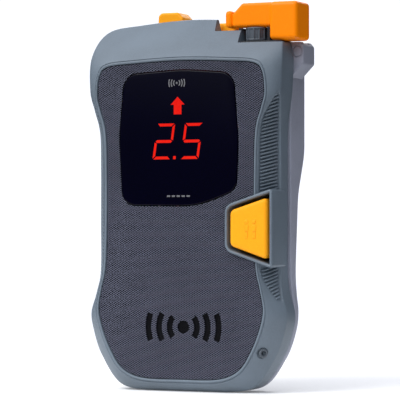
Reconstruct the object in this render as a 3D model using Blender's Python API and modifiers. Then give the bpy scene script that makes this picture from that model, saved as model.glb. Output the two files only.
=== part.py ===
"""Avalanche transceiver: a hand-held radio beacon with a display, one button and a mode lever.

Sizes are in millimetres, and MM turns them into Blender's metres. X points to the right of the
display, +Z is up from the flat foot, and +Y points to the back. Places along Y are given as a depth
behind the front plane, and the origin lies on the foot, ORIGIN_DEPTH behind that plane.
"""

import math

import bmesh
import bpy
from mathutils import Matrix, Vector

MM = 0.001
ORIGIN_DEPTH = 10.0

# Driving dimensions of the case.
PARTING_DEPTH = 12.5
PARTING_GAP = 0.3
BACK_START = PARTING_DEPTH + PARTING_GAP
BACK_DEPTH = 26.0
WAIST_BACK_DEPTH = 21.0
FOOT_BACK_DEPTH = 17.4
DEEP_HEIGHT = 72.6
SLOPE_FOOT_HEIGHT = 60.3
LOW_BUMP_HEIGHT = 22.0
FRONT_WALL = 2.0
BACK_WALL = 2.2
SAMPLES = 3

# Half of the case from the middle of the foot to the middle of the top. Each station gives the
# panel's edge (x, z), the front shell's outer edge (x, z), the depth of that edge's shoulder, and
# the back shell's outer edge (x, z).
STATIONS = [
    (0.0, 3.8, 0.0, 0.0, 5.0, 0.0, 0.0),
    (12.8, 4.1, 13.5, 0.0, 5.0, 13.5, 0.0),
    (19.6, 6.9, 22.8, 2.0, 5.2, 22.8, 2.0),
    (23.6, 12.6, 29.3, 10.5, 5.6, 29.3, 10.5),
    (26.3, 18.9, 32.3, 18.3, 5.9, 32.3, 18.3),
    (27.6, 25.0, 33.1, 23.8, 6.0, 33.0, 24.0),
    (26.5, 31.8, 31.6, 29.5, 6.8, 32.2, 30.0),
    (25.2, 38.0, 30.7, 36.0, 7.8, 31.6, 37.0),
    (24.7, 52.0, 30.7, 52.0, 7.8, 31.5, 52.0),
    (24.7, 68.0, 30.7, 68.0, 7.8, 31.5, 68.0),
    (25.2, 79.5, 30.8, 79.5, 7.4, 31.5, 80.0),
    (27.0, 86.0, 31.6, 86.5, 5.2, 31.5, 90.0),
    (28.1, 90.5, 32.3, 92.5, 3.5, 31.5, 97.0),
    (27.4, 96.8, 32.3, 103.0, 4.5, 31.4, 104.0),
    (24.6, 99.5, 29.0, 110.9, 9.5, 28.6, 110.8),
    (16.0, 100.3, 18.0, 113.0, 11.0, 18.0, 112.3),
    (0.0, 100.9, 0.0, 114.1, 11.0, 0.0, 113.4),
]

# Front panel, window and display.
PANEL_FRONT = 0.3
PANEL_BACK = 1.3
PANEL_SEAT = 1.6
PANEL_GAP = 0.3
FLANGE_BACK = 3.2
RIM_WIDTH = 0.9
WINDOW_CORNERS = [
    (-19.0, 56.6, 3.5), (8.5, 56.6, 6.0), (18.9, 61.9, 1.5), (19.3, 84.0, 20.0),
    (18.0, 96.2, 2.5), (0.0, 97.7, 40.0), (-18.6, 96.4, 3.0), (-20.5, 84.0, 20.0),
]

# Option button in its raised surround.
SURROUND_CORNERS = [(15.5, 42.9, 3.2), (31.2, 37.6, 1.0), (31.2, 61.8, 1.0), (15.5, 56.7, 3.2)]
SURROUND_HOLE = [(16.5, 43.7, 2.4), (30.3, 39.0, 0.5), (30.3, 60.4, 0.5), (16.5, 55.9, 2.4)]
BUTTON_CORNERS = [(17.5, 44.5, 1.8), (29.6, 40.4, 1.0), (29.6, 59.0, 1.0), (17.5, 55.1, 1.8)]
SURROUND_FRONT = -1.0
SURROUND_BACK = 9.2
BUTTON_FRONT = -1.8
BUTTON_STEM = (23.6, 49.7)

# Mode lever, which turns about a vertical shaft.
LEVER_X = 21.3
LEVER_DEPTH = 10.5
LEVER_BOTTOM = 111.1
LEVER_TOP = 118.3
BLOCK_BOTTOM = 107.0
SHAFT_RADIUS = 1.3
SHAFT_HOLE = 1.55
HUB_RADIUS = 3.5
CLIP_HEIGHT = 96.05
MAGNET_PLACE = (31.2, 11.4)
NOTCH_X = 8.6
STEP_X = 17.3
UPPER_LEDGE = 110.0
LOWER_LEDGE = 106.0
DECK_HEIGHT = 106.3

# Lock slider under the lever's thumb tab.
CHANNEL_FLOOR = 108.2
SPRING_LINE = (18.0, 110.1)

# Batteries: three AAA cells lying across the deep upper back.
CELL_RADIUS = 5.1
CELL_DEPTH = 19.1
CELL_HEIGHTS = [77.0, 87.9, 98.8]
CELL_LEFT = -21.35
CELL_BODY = 43.3
CELL_NUB = 0.9

# Battery door, hinged along its lower edge.
HINGE_HEIGHT = 73.9
HINGE_DEPTH = 25.35
DOOR_HALF_WIDTH = 27.2
DOOR_FRONT = 24.75
DOOR_TOP = 105.0
DOOR_SCREW_HEIGHT = 107.6
INSERT_DEPTH = 21.0

# Antennas: ferrite rods with their windings, and a flat ring.
ANTENNA_DEPTH = 5.4
ROD_RADIUS = 2.3
WINDING_RADIUS = 3.3

# Fasteners of the case: (x, z), the boss's front end, and the screw head's depth.
CASE_SCREWS = [
    (-24.0, 14.0, 4.0, 15.0), (24.0, 14.0, 4.0, 15.0),
    (-26.5, 66.0, 6.0, 20.0), (26.5, 66.0, 6.0, 20.0),
    (-27.0, 107.3, 9.0, 23.0),
]
SEAL_TOP = 105.2

# Sound port in the lower right bevel, and the leash's pin in its lug.
PORT_AXIS = (0.79, -0.6, -0.1)
PORT_RECESS = (26.9, 1.9, 12.3)
PORT_RING = (27.15, 1.7, 12.27)
PIN_X = 33.6
PIN_HEIGHT = 103.4

# Directions, and a height above everything, up to which the cutters reach.
BACKWARDS = (0, 1, 0)
SIDEWAYS = (1, 0, 0)
UPWARDS = (0, 0, 1)
CLEAR_TOP = 130.0
TORUS_RING = 10
COIL_STEPS = 10

ITEMS = bpy.data.collections.new("avalanche_transceiver")
CUTTERS = bpy.data.collections.new("cutters")
MATERIALS = {}


def clear_scene():
    for item in list(bpy.data.objects):
        bpy.data.objects.remove(item, do_unlink=True)
    bpy.context.scene.collection.children.link(ITEMS)
    bpy.context.scene.collection.children.link(CUTTERS)


def material(name, colour, roughness, metallic=0.0, alpha=1.0):
    """One Principled material for each finish, made on first use."""
    if name not in MATERIALS:
        made = bpy.data.materials.new(name)
        made.use_nodes = True
        shader = made.node_tree.nodes["Principled BSDF"]
        shader.inputs["Base Color"].default_value = (*colour, 1.0)
        shader.inputs["Roughness"].default_value = roughness
        shader.inputs["Metallic"].default_value = metallic
        shader.inputs["Alpha"].default_value = alpha
        MATERIALS[name] = made
    return MATERIALS[name]


def case_grey():
    return material("case_plastic", (0.235, 0.275, 0.31), 0.5)


def back_grey():
    return material("back_plastic", (0.14, 0.14, 0.165), 0.55)


def orange():
    return material("orange_plastic", (1.0, 0.26, 0.0), 0.35)


def yellow_orange():
    return material("button_plastic", (1.0, 0.4, 0.02), 0.4)


def dark_plastic():
    return material("dark_plastic", (0.02, 0.022, 0.028), 0.5)


def mesh_panel():
    return material("panel_plastic", (0.045, 0.05, 0.07), 0.6)


def gloss_black():
    return material("window_plastic", (0.002, 0.002, 0.005), 0.08)


def steel():
    return material("steel", (0.55, 0.55, 0.56), 0.3, metallic=1.0)


def brass():
    return material("brass", (0.7, 0.5, 0.2), 0.35, metallic=1.0)


def rubber():
    return material("rubber", (0.015, 0.015, 0.016), 0.8)


def board_green():
    return material("circuit_board", (0.01, 0.12, 0.05), 0.45)


def ferrite():
    return material("ferrite", (0.035, 0.035, 0.04), 0.55)


def copper():
    return material("copper_wire", (0.72, 0.28, 0.12), 0.35, metallic=1.0)


def cell_sleeve():
    return material("cell_sleeve", (0.05, 0.05, 0.055), 0.35)


def red_display():
    return material("display_red", (0.25, 0.01, 0.005), 0.4)


# ---------------------------------------------------------------------------------------------
# Making solids
# ---------------------------------------------------------------------------------------------

def at(x, depth, z):
    """World position of a point given by its x, its depth behind the front plane and its height."""
    return Vector((x * MM, (depth - ORIGIN_DEPTH) * MM, z * MM))


def add_object(name, mesh, finish, smooth=True):
    item = bpy.data.objects.new(name, mesh)
    ITEMS.objects.link(item)
    mesh.materials.clear()
    mesh.materials.append(finish)
    if smooth:
        mesh.shade_smooth()
        mesh.set_sharp_from_angle(angle=math.radians(35))
    return item


def mesh_from(bm, name):
    bmesh.ops.recalc_face_normals(bm, faces=bm.faces)
    mesh = bpy.data.meshes.new(name)
    bm.to_mesh(mesh)
    bm.free()
    return mesh


def box(name, x_range, depth_range, z_range, finish, bevel=0.0):
    """A block between two x, two depths and two heights, with rounded edges if bevel is given."""
    low = at(x_range[0], depth_range[0], z_range[0])
    high = at(x_range[1], depth_range[1], z_range[1])
    bm = bmesh.new()
    bmesh.ops.create_cube(bm, size=1.0)
    bmesh.ops.scale(bm, vec=high - low, verts=bm.verts)
    bmesh.ops.translate(bm, vec=(low + high) / 2, verts=bm.verts)
    item = add_object(name, mesh_from(bm, name), finish)
    if bevel:
        edges = item.modifiers.new("Rounded edges", "BEVEL")
        edges.width = bevel * MM
        edges.segments = 2
    return item


def rod(name, centre, radius, length, axis, finish, sides=24):
    """A cylinder centred on a point along an axis."""
    bm = bmesh.new()
    bmesh.ops.create_cone(
        bm, cap_ends=True, segments=sides, radius1=radius * MM, radius2=radius * MM, depth=length * MM)
    turn = Vector((0, 0, 1)).rotation_difference(Vector(axis)).to_matrix().to_4x4()
    bmesh.ops.transform(bm, matrix=Matrix.Translation(at(*centre)) @ turn, verts=bm.verts)
    return add_object(name, mesh_from(bm, name), finish)


def torus(name, centre, radius, thickness, finish, sides=24):
    """A round ring about a vertical axis."""
    profile = bpy.data.meshes.new(name)
    ring = []
    for step in range(TORUS_RING):
        angle = -math.tau * step / TORUS_RING
        reach = radius + thickness * math.cos(angle)
        ring.append((reach * MM, 0.0, thickness * math.sin(angle) * MM))
    loop = [(step, (step + 1) % len(ring)) for step in range(len(ring))]
    profile.from_pydata(ring, loop, [])
    item = add_object(name, profile, finish, smooth=False)
    item.location = at(*centre)
    turn = item.modifiers.new("Turned", "SCREW")
    turn.steps = sides
    turn.render_steps = sides
    turn.use_merge_vertices = True
    turn.merge_threshold = 0.000001
    return item


def rounded(corners, steps=5):
    """A closed outline through corners given as (x, z, radius)."""
    points = []
    count = len(corners)
    for index, (x, z, radius) in enumerate(corners):
        here = Vector((x, z))
        before = Vector(corners[index - 1][:2]) - here
        after = Vector(corners[(index + 1) % count][:2]) - here
        half = before.angle(after) / 2
        reach = radius / math.tan(half)
        start = here + before.normalized() * reach
        end = here + after.normalized() * reach
        inwards = (before.normalized() + after.normalized()).normalized()
        middle = here + inwards * radius / math.sin(half)
        for step in range(steps + 1):
            spoke = start.lerp(end, step / steps) - middle
            points.append(tuple(middle + spoke.normalized() * radius))
    return points


def rectangle(x_range, z_range, radius):
    return rounded([
        (x_range[0], z_range[0], radius), (x_range[1], z_range[0], radius),
        (x_range[1], z_range[1], radius), (x_range[0], z_range[1], radius)])


def flat_piece(name, outlines, depth_range, finish, bevel=0.0):
    """A plate from closed (x, z) outlines, the first its edge and the others its holes."""
    curve = bpy.data.curves.new(name, "CURVE")
    curve.dimensions = "2D"
    curve.fill_mode = "BOTH"
    curve.extrude = (depth_range[1] - depth_range[0]) / 2 * MM
    for outline in outlines:
        spline = curve.splines.new("POLY")
        spline.points.add(len(outline) - 1)
        for point, (x, z) in zip(spline.points, outline):
            point.co = (x * MM, z * MM, 0.0, 1.0)
        spline.use_cyclic_u = True
    drawn = bpy.data.objects.new(name + "_outline", curve)
    ITEMS.objects.link(drawn)
    view = bpy.context.evaluated_depsgraph_get()
    mesh = bpy.data.meshes.new_from_object(drawn.evaluated_get(view))
    bpy.data.objects.remove(drawn, do_unlink=True)
    bm = bmesh.new()
    bm.from_mesh(mesh)
    bmesh.ops.remove_doubles(bm, verts=bm.verts, dist=0.000001)
    middle = (depth_range[0] + depth_range[1]) / 2
    place = Matrix.Translation(at(0, middle, 0)) @ Matrix.Rotation(math.pi / 2, 4, "X")
    bmesh.ops.transform(bm, matrix=place, verts=bm.verts)
    item = add_object(name, mesh_from(bm, name), finish)
    if bevel:
        edges = item.modifiers.new("Rounded edges", "BEVEL")
        edges.width = bevel * MM
        edges.segments = 2
        edges.limit_method = "ANGLE"
        edges.angle_limit = math.radians(50)
    return item


def combine(target, tool, operation):
    """Cut, join or clip the target with a tool, which moves to the cutters."""
    change = target.modifiers.new(tool.name, "BOOLEAN")
    change.object = tool
    change.operation = operation
    change.solver = "EXACT"
    tool.hide_render = True
    tool.display_type = "WIRE"
    ITEMS.objects.unlink(tool)
    CUTTERS.objects.link(tool)


def cut(target, *tools):
    for tool in tools:
        combine(target, tool, "DIFFERENCE")


def join(target, *tools):
    for tool in tools:
        combine(target, tool, "UNION")


# ---------------------------------------------------------------------------------------------
# Outlines of the case
# ---------------------------------------------------------------------------------------------

def smooth_half():
    """The stations with SAMPLES points to each stretch, along a smooth curve through them all."""
    mirrored_start = tuple(-v if i in (0, 2, 5) else v for i, v in enumerate(STATIONS[1]))
    mirrored_end = tuple(-v if i in (0, 2, 5) else v for i, v in enumerate(STATIONS[-2]))
    keys = [mirrored_start] + STATIONS + [mirrored_end]
    points = []
    for index in range(1, len(keys) - 2):
        for step in range(SAMPLES):
            t = step / SAMPLES
            points.append(tuple(
                spline_value(*(keys[index + k][part] for k in (-1, 0, 1, 2)), t)
                for part in range(7)))
    points.append(STATIONS[-1])
    return points


def spline_value(before, start, end, after, t):
    """Catmull-Rom value between start and end."""
    return 0.5 * (
        2 * start + (end - before) * t
        + (2 * before - 5 * start + 4 * end - after) * t ** 2
        + (3 * start - before - 3 * end + after) * t ** 3)


def full_outline(part):
    """The closed outline of the panel (0), the front shell (1) or the back shell (2)."""
    column = (0, 2, 5)[part]
    right = [(p[column], max(p[column + 1], 0.0)) for p in smooth_half()]
    left = [(-x, z) for x, z in reversed(right[1:-1])]
    return right + left


def shoulder_depths():
    right = [p[4] for p in smooth_half()]
    return right + list(reversed(right[1:-1]))


def inset(outline, distance):
    """The outline moved inwards by a distance along its normals."""
    moved = []
    count = len(outline)
    for index, (x, z) in enumerate(outline):
        ahead = outline[(index + 1) % count]
        behind = outline[index - 1]
        along = Vector((ahead[0] - behind[0], ahead[1] - behind[1])).normalized()
        moved.append((x - along.y * distance, z + along.x * distance))
    return moved


def back_depth(z):
    """Depth of the back surface at a height: deep over the batteries, slimmer towards the foot."""
    marks = [
        (0.0, FOOT_BACK_DEPTH), (LOW_BUMP_HEIGHT, FOOT_BACK_DEPTH), (SLOPE_FOOT_HEIGHT, WAIST_BACK_DEPTH),
        (DEEP_HEIGHT, BACK_DEPTH), (200.0, BACK_DEPTH)]
    for low, high in zip(marks, marks[1:]):
        if z <= high[0]:
            share = max(0.0, (z - low[0]) / (high[0] - low[0]))
            return low[1] + (high[1] - low[1]) * share
    return BACK_DEPTH


# ---------------------------------------------------------------------------------------------
# Front shell, panel and window
# ---------------------------------------------------------------------------------------------

def front_section(panel, outer, shoulder):
    """Profile of the front frame at one place: (distance outwards from the panel's edge, depth)."""
    width = math.hypot(outer[0] - panel[0], outer[1] - panel[1])
    face = Vector((width - RIM_WIDTH, shoulder))
    inwards = Vector((-face.y, face.x)).normalized() * FRONT_WALL
    slope = face.y / face.x
    inner_limit = PARTING_DEPTH - 0.8
    inner_width = width - FRONT_WALL
    inner_depth = inwards.y + slope * (inner_width - RIM_WIDTH - inwards.x)
    if inner_depth > inner_limit:
        inner_width -= (inner_depth - inner_limit) / slope
        inner_depth = inner_limit
    return [
        (-1.5, FLANGE_BACK), (-1.5, PANEL_SEAT), (0.0, PANEL_SEAT), (0.0, 0.25), (0.3, 0.0),
        (RIM_WIDTH, 0.0), (width, shoulder), (width, PARTING_DEPTH),
        (inner_width, PARTING_DEPTH), (inner_width, max(inner_depth, FLANGE_BACK + 0.6)),
        (0.6, FLANGE_BACK)]


def front_frame():
    """The ring of the front shell, lofted between the panel's edge and the outer edge."""
    panel = full_outline(0)
    outer = full_outline(1)
    bm = bmesh.new()
    rings = []
    for inner_point, outer_point, shoulder in zip(panel, outer, shoulder_depths()):
        outwards = (Vector(outer_point) - Vector(inner_point)).normalized()
        ring = []
        for distance, depth in front_section(inner_point, outer_point, shoulder):
            x, z = Vector(inner_point) + outwards * distance
            ring.append(bm.verts.new(at(x, depth, max(z, 0.0))))
        rings.append(ring)
    for here, ahead in zip(rings, rings[1:] + rings[:1]):
        for index in range(len(here)):
            beside = (index + 1) % len(here)
            bm.faces.new((here[index], here[beside], ahead[beside], ahead[index]))
    return add_object("front_shell", mesh_from(bm, "front_shell"), case_grey())


def notch_cutter():
    """The stepped notch in the front shell's top, under the lever."""
    return flat_piece("notch_cutter", [[
        (NOTCH_X, UPPER_LEDGE), (STEP_X - 0.2, UPPER_LEDGE), (STEP_X + 0.3, LOWER_LEDGE),
        (45.0, LOWER_LEDGE), (45.0, CLEAR_TOP), (NOTCH_X - 5.0, CLEAR_TOP)]], (-5.0, 20.0), case_grey())


def front_shell():
    shell = front_frame()
    join(shell, flat_piece(
        "surround_block", [rounded(SURROUND_CORNERS)], (SURROUND_FRONT, SURROUND_BACK), case_grey()))
    for index, (x, z, boss_front, _) in enumerate(CASE_SCREWS, 1):
        length = PARTING_DEPTH - boss_front
        centre = (x, boss_front + length / 2, z)
        join(shell, rod(f"front_boss_{index}", centre, 2.3, length, BACKWARDS, case_grey(), 16))
    cut(shell, flat_piece(
        "button_hole", [rounded(SURROUND_HOLE)], (-3.0, SURROUND_BACK + 0.3), case_grey()))
    for index, (x, z, boss_front, _) in enumerate(CASE_SCREWS, 1):
        length = 2 * (PARTING_DEPTH - boss_front - 1.5)
        centre = (x, PARTING_DEPTH, z)
        cut(shell, rod(f"pilot_hole_{index}", centre, 1.3, length, BACKWARDS, case_grey(), 12))
    cut(shell, notch_cutter())
    cut(shell, rod("port_recess", PORT_RECESS, 1.7, 2.2, PORT_AXIS, case_grey(), 16))
    cut(shell, rod("port_hole", PORT_RECESS, 0.9, 12.0, PORT_AXIS, case_grey(), 12))


def front_panel():
    edge = inset(full_outline(0), PANEL_GAP)
    panel = flat_piece("front_panel", [edge], (PANEL_FRONT, PANEL_BACK), mesh_panel())
    for name, corners in (("window_opening", WINDOW_CORNERS), ("surround_opening", SURROUND_CORNERS)):
        cut(panel, flat_piece(name, [inset(rounded(corners), -PANEL_GAP)], (-3.0, 5.0), mesh_panel()))


def display():
    flat_piece("display_window", [rounded(WINDOW_CORNERS)], (0.25, 1.25), gloss_black())
    mask = rectangle((-17.0, 16.0), (60.5, 94.5), 2.0)
    opening = rectangle((-11.6, 9.6), (68.4, 91.6), 0.8)
    flat_piece("display_mask", [mask, opening], (1.8, 2.5), dark_plastic())
    box("led_display", (-11.0, 9.0), (3.0, 8.8), (69.0, 91.0), red_display(), bevel=0.4)


def port_mesh():
    """The round grille ring of the sound port, sunk into the lower right bevel."""
    ring = rod("port_ring", PORT_RING, 1.4, 0.7, PORT_AXIS, dark_plastic(), 20)
    cut(ring, rod("port_ring_hole", PORT_RING, 0.8, 4.0, PORT_AXIS, dark_plastic(), 16))


# ---------------------------------------------------------------------------------------------
# Back shell
# ---------------------------------------------------------------------------------------------

def back_solid(name, wall, finish):
    """A solid with the back shell's form, smaller all round by a wall."""
    outline = inset(full_outline(2), wall) if wall else full_outline(2)
    front = BACK_START - (1.0 if wall else 0.0)
    layers = [(0.0, None, front), (0.0, 3.0, 0.0), (0.9, 0.9, 0.0), (3.0, 0.0, 0.0)]
    if wall:
        layers = [(0.0, None, front), (0.0, 1.5, 0.0), (1.5, 0.0, 0.0)]
    bm = bmesh.new()
    rings = []
    for inwards, before_back, fixed_depth in layers:
        ring = []
        for (x, z), (_, level) in zip(inset(outline, inwards), outline):
            surface = back_depth(level) - wall * 0.8
            depth = fixed_depth if before_back is None else surface - before_back
            ring.append(bm.verts.new(at(x, depth, z if wall else max(z, 0.0))))
        rings.append(ring)
    count = len(outline)
    for near, far in zip(rings, rings[1:]):
        for index in range(count):
            beside = (index + 1) % count
            bm.faces.new((near[index], near[beside], far[beside], far[index]))
    bm.faces.new(rings[0])
    close_back(bm, rings[-1])
    return add_object(name, mesh_from(bm, name), finish)


def close_back(bm, ring):
    """Close a ring with strips from its right half to its left half, and one face by the flat foot."""
    count = len(ring)
    half = count // 2
    foot = SAMPLES + 1
    bm.faces.new(ring[count - foot:] + ring[:foot + 1])
    for index in range(foot, half - 1):
        bm.faces.new((ring[index], ring[index + 1], ring[count - index - 1], ring[count - index]))
    bm.faces.new((ring[half - 1], ring[half], ring[half + 1]))


def back_cavity():
    cavity = back_solid("back_cavity", BACK_WALL, back_grey())
    combine(cavity, box("cavity_limit", (-50, 50), (0, 40), (1.0, 69.8), back_grey()), "INTERSECT")
    return cavity


def leash_lug():
    return flat_piece("leash_lug", [[
        (29.0, 93.4), (31.4, 95.7), (35.6, 99.9), (35.6, 104.7), (34.5, 105.9), (29.0, 105.9)]],
        (12.8, 22.0), back_grey())


def back_shell():
    shell = back_solid("back_shell", 0.0, back_grey())
    cut(shell, back_cavity())
    join(shell, leash_lug())
    for index, (x, z, _, head_depth) in enumerate(CASE_SCREWS[:4], 1):
        length = head_depth + 1.0 - BACK_START
        centre = (x, BACK_START + length / 2, z)
        join(shell, rod(f"back_boss_{index}", centre, 3.0, length, BACKWARDS, back_grey(), 16))
    for index, (x, z, _, head_depth) in enumerate(CASE_SCREWS, 1):
        seat = (x, head_depth + 5.0, z)
        cut(shell, rod(f"screw_hole_{index}", (x, 18.0, z), 1.3, 16.0, BACKWARDS, back_grey(), 12))
        cut(shell, rod(f"screw_seat_{index}", seat, 2.2, 10.0, BACKWARDS, back_grey(), 16))
    cut(shell, box("deck_cutter", (NOTCH_X, 50), (5, 40), (DECK_HEIGHT, CLEAR_TOP), back_grey()))
    cut(shell, box("battery_pocket", (-26.0, 25.4), (13.85, 24.0), (71.45, 104.35), back_grey()))
    cut(shell, box("battery_opening", (-26.0, 25.4), (23.5, 30.0), (75.5, 104.0), back_grey()))
    door_recess = [
        (-27.5, 72.9), (27.5, 72.9), (27.5, 105.3), (5.3, 105.3), (5.3, 112.2), (-5.3, 112.2),
        (-5.3, 105.3), (-27.5, 105.3)]
    cut(shell, flat_piece("door_recess", [door_recess], (24.25, 30.0), back_grey()))
    cut(shell, box("tab_recess", (-5.3, 5.3), (22.9, 30.0), (105.0, 112.2), back_grey()))
    hinge_place = (0.0, HINGE_DEPTH, HINGE_HEIGHT)
    channel_top = (CHANNEL_FLOOR, CLEAR_TOP)
    cut(shell, rod("insert_hole", on_door_screw(INSERT_DEPTH), 2.6, 4.4, BACKWARDS, back_grey(), 16))
    cut(shell, rod("hinge_holes", hinge_place, 0.68, 57.6, SIDEWAYS, back_grey(), 12))
    cut(shell, box("slider_channel", (-17.2, NOTCH_X + 1), (11.0, 17.1), channel_top, back_grey()))
    cut(shell, box("slider_pocket", (-17.2, -5.9), (11.0, 22.4), channel_top, back_grey()))
    cut(shell, rod("spring_bore", (-20.4, *SPRING_LINE), 1.6, 8.2, SIDEWAYS, back_grey(), 16))
    cut(shell, box("leash_slot", (28.0, 40.0), (15.0, 19.6), (99.3, 110.0), back_grey()))
    cut(shell, rod("leash_pin_hole", (PIN_X, 17.0, PIN_HEIGHT), 1.5, 20.0, BACKWARDS, back_grey(), 16))
    cut(shell, flat_piece("seal_groove", [seal_edge(0.6), seal_edge(1.9)], (12.0, 13.3), back_grey()))


def seal_edge(distance):
    """The seal's line: inside the front shell's edge, and straight below the lever and lock."""
    line = inset(full_outline(1), distance)
    top = SEAL_TOP - distance
    right_corner = max(x for x, z in line if z > top)
    kept = []
    for x, z in line:
        if z <= top:
            kept.append((x, z))
        elif abs(x) == right_corner:
            kept.append((x, top))
    return kept


def case_seal():
    flat_piece("case_seal", [seal_edge(0.85), seal_edge(1.65)], (12.6, 13.2), rubber())


def case_screws():
    for index, (x, z, boss_front, head_depth) in enumerate(CASE_SCREWS, 1):
        tip = boss_front + 2.0
        end = head_depth + 1.0
        screw = rod(f"case_screw_{index}", (x, (tip + end) / 2, z), 1.0, end - tip, BACKWARDS, steel(), 12)
        head = (x, head_depth + 0.9, z)
        join(screw, rod(f"screw_head_{index}", head, 1.8, 1.2, BACKWARDS, steel(), 16))
        cut(screw, box(
            f"screw_slot_{index}", (x - 1.3, x + 1.3), (head_depth + 1.0, head_depth + 3.0),
            (z - 0.25, z + 0.25), steel()))


def leash_pin():
    rod("leash_pin", (PIN_X, 17.45, PIN_HEIGHT), 1.2, 8.9, BACKWARDS, steel(), 20)


# ---------------------------------------------------------------------------------------------
# Option button and its switch
# ---------------------------------------------------------------------------------------------

def option_button():
    x, z = BUTTON_STEM
    edge = rounded(BUTTON_CORNERS)
    button = flat_piece("option_button", [edge], (BUTTON_FRONT, 3.0), yellow_orange(), bevel=0.8)
    stem = box("button_stem", (x - 1.6, x + 1.6), (2.0, 6.65), (z - 1.6, z + 1.6), yellow_orange())
    join(button, stem)
    boot_edge = [(16.8, 44.1, 2.2), (30.0, 39.5, 0.5), (30.0, 60.0, 0.5), (16.8, 55.6, 2.2)]
    boot_hole = rectangle((x - 2.0, x + 2.0), (z - 2.0, z + 2.0), 0.3)
    flat_piece("button_boot", [rounded(boot_edge), boot_hole], (4.7, 5.5), rubber())
    base = box(
        "switch_base", (x - 3.0, x + 3.0), (7.6, 9.3), (z - 3.0, z + 3.0), dark_plastic(), bevel=0.2)
    cut(base, rod("plunger_hole", (x, 7.6, z), 2.0, 3.0, BACKWARDS, dark_plastic(), 20))
    rod("switch_plunger", (x, 7.5, z), 1.7, 1.1, BACKWARDS, dark_plastic(), 20)


# ---------------------------------------------------------------------------------------------
# Mode lever and lock
# ---------------------------------------------------------------------------------------------

def mode_lever():
    lever = flat_piece("mode_lever", [[
        (14.7, LEVER_BOTTOM), (29.0, LEVER_BOTTOM), (29.0, LEVER_TOP), (17.8, LEVER_TOP), (14.7, 115.3)]],
        (8.0, 14.5), orange(), bevel=0.8)
    block = box(
        "lever_block", (27.2, 36.2), (6.3, 17.0), (BLOCK_BOTTOM, LEVER_TOP), orange(), bevel=1.0)
    join(lever, block)
    join(lever, box("thumb_tab", (12.1, 15.8), (8.4, 13.5), (LEVER_BOTTOM, 115.6), orange(), bevel=0.9))
    cut(lever, rod("shaft_socket", on_shaft(112.0), SHAFT_HOLE, 8.0, UPWARDS, orange(), 20))
    cut(lever, rod("magnet_socket", (*MAGNET_PLACE, BLOCK_BOTTOM), 1.8, 5.4, UPWARDS, orange(), 16))
    rod("lever_magnet", (*MAGNET_PLACE, 108.3), 1.5, 2.0, UPWARDS, steel(), 16)


def on_shaft(z):
    """The point of the lever's shaft at a height."""
    return (LEVER_X, LEVER_DEPTH, z)


def lever_shaft():
    """The lever's hub, its steel shaft and the clip that holds the shaft under its bearing."""
    hub = rod("lever_hub", on_shaft(108.7), HUB_RADIUS, 4.2, UPWARDS, dark_plastic(), 32)
    cut(hub, rod("hub_hole", on_shaft(108.7), SHAFT_HOLE, 6.0, UPWARDS, dark_plastic(), 20))
    rod("lever_shaft", on_shaft(105.5), SHAFT_RADIUS, 19.6, UPWARDS, steel(), 20)
    clip = rod("shaft_clip", on_shaft(CLIP_HEIGHT), 2.15, 0.4, UPWARDS, steel(), 20)
    cut(clip, rod("clip_hole", on_shaft(CLIP_HEIGHT), SHAFT_HOLE, 2.0, UPWARDS, steel(), 20))


def lever_bearing():
    bearing = box(
        "lever_bearing", (13.0, 28.6), (6.4, 12.2), (96.6, 100.6), dark_plastic(), bevel=0.4)
    cut(bearing, rod("bearing_bore", on_shaft(98.0), SHAFT_HOLE, 10.0, UPWARDS, dark_plastic(), 24))
    box("lever_sensor", (26.0, 28.4), (8.6, 11.6), (101.0, 102.4), dark_plastic())


def lock_slider():
    slider = box("lock_slider", (-14.1, NOTCH_X - 0.5), (13.1, 16.8), (108.5, 112.0), orange(), bevel=0.3)
    join(slider, box("lock_tongue", (5.0, 14.9), (13.1, 15.3), (108.5, 110.6), orange(), bevel=0.3))
    join(slider, box("lock_pad_base", (-14.1, -6.3), (13.3, 22.0), (108.5, 112.6), orange()))
    pad = flat_piece("lock_pad", [[
        (-14.1, 112.0), (-6.3, 112.0), (-7.3, 114.6), (-8.6, 115.9), (-12.8, 115.9), (-13.7, 115.2)]],
        (14.0, 22.0), orange(), bevel=0.4)
    join(slider, pad)


def coil(name, start, end, radius, turns, wire, finish):
    """A compression spring along X between two places."""
    curve = bpy.data.curves.new(name, "CURVE")
    curve.dimensions = "3D"
    curve.bevel_depth = wire * MM
    curve.bevel_resolution = 1
    curve.use_fill_caps = True
    spline = curve.splines.new("POLY")
    steps = turns * COIL_STEPS
    spline.points.add(steps)
    for index in range(steps + 1):
        share = index / steps
        angle = math.tau * turns * share
        x = start[0] + (end[0] - start[0]) * share
        point = at(x, start[1] + radius * math.cos(angle), start[2] + radius * math.sin(angle))
        spline.points[index].co = (*point, 1.0)
    drawn = bpy.data.objects.new(name + "_path", curve)
    ITEMS.objects.link(drawn)
    view = bpy.context.evaluated_depsgraph_get()
    mesh = bpy.data.meshes.new_from_object(drawn.evaluated_get(view))
    bpy.data.objects.remove(drawn, do_unlink=True)
    bm = bmesh.new()
    bm.from_mesh(mesh)
    bmesh.ops.remove_doubles(bm, verts=bm.verts, dist=0.000001)
    add_object(name, mesh_from(bm, name), finish)


def lock_spring():
    coil("lock_spring", (-24.2, *SPRING_LINE), (-14.5, *SPRING_LINE), 1.1, 6, 0.2, steel())


# ---------------------------------------------------------------------------------------------
# Batteries and their door
# ---------------------------------------------------------------------------------------------

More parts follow.
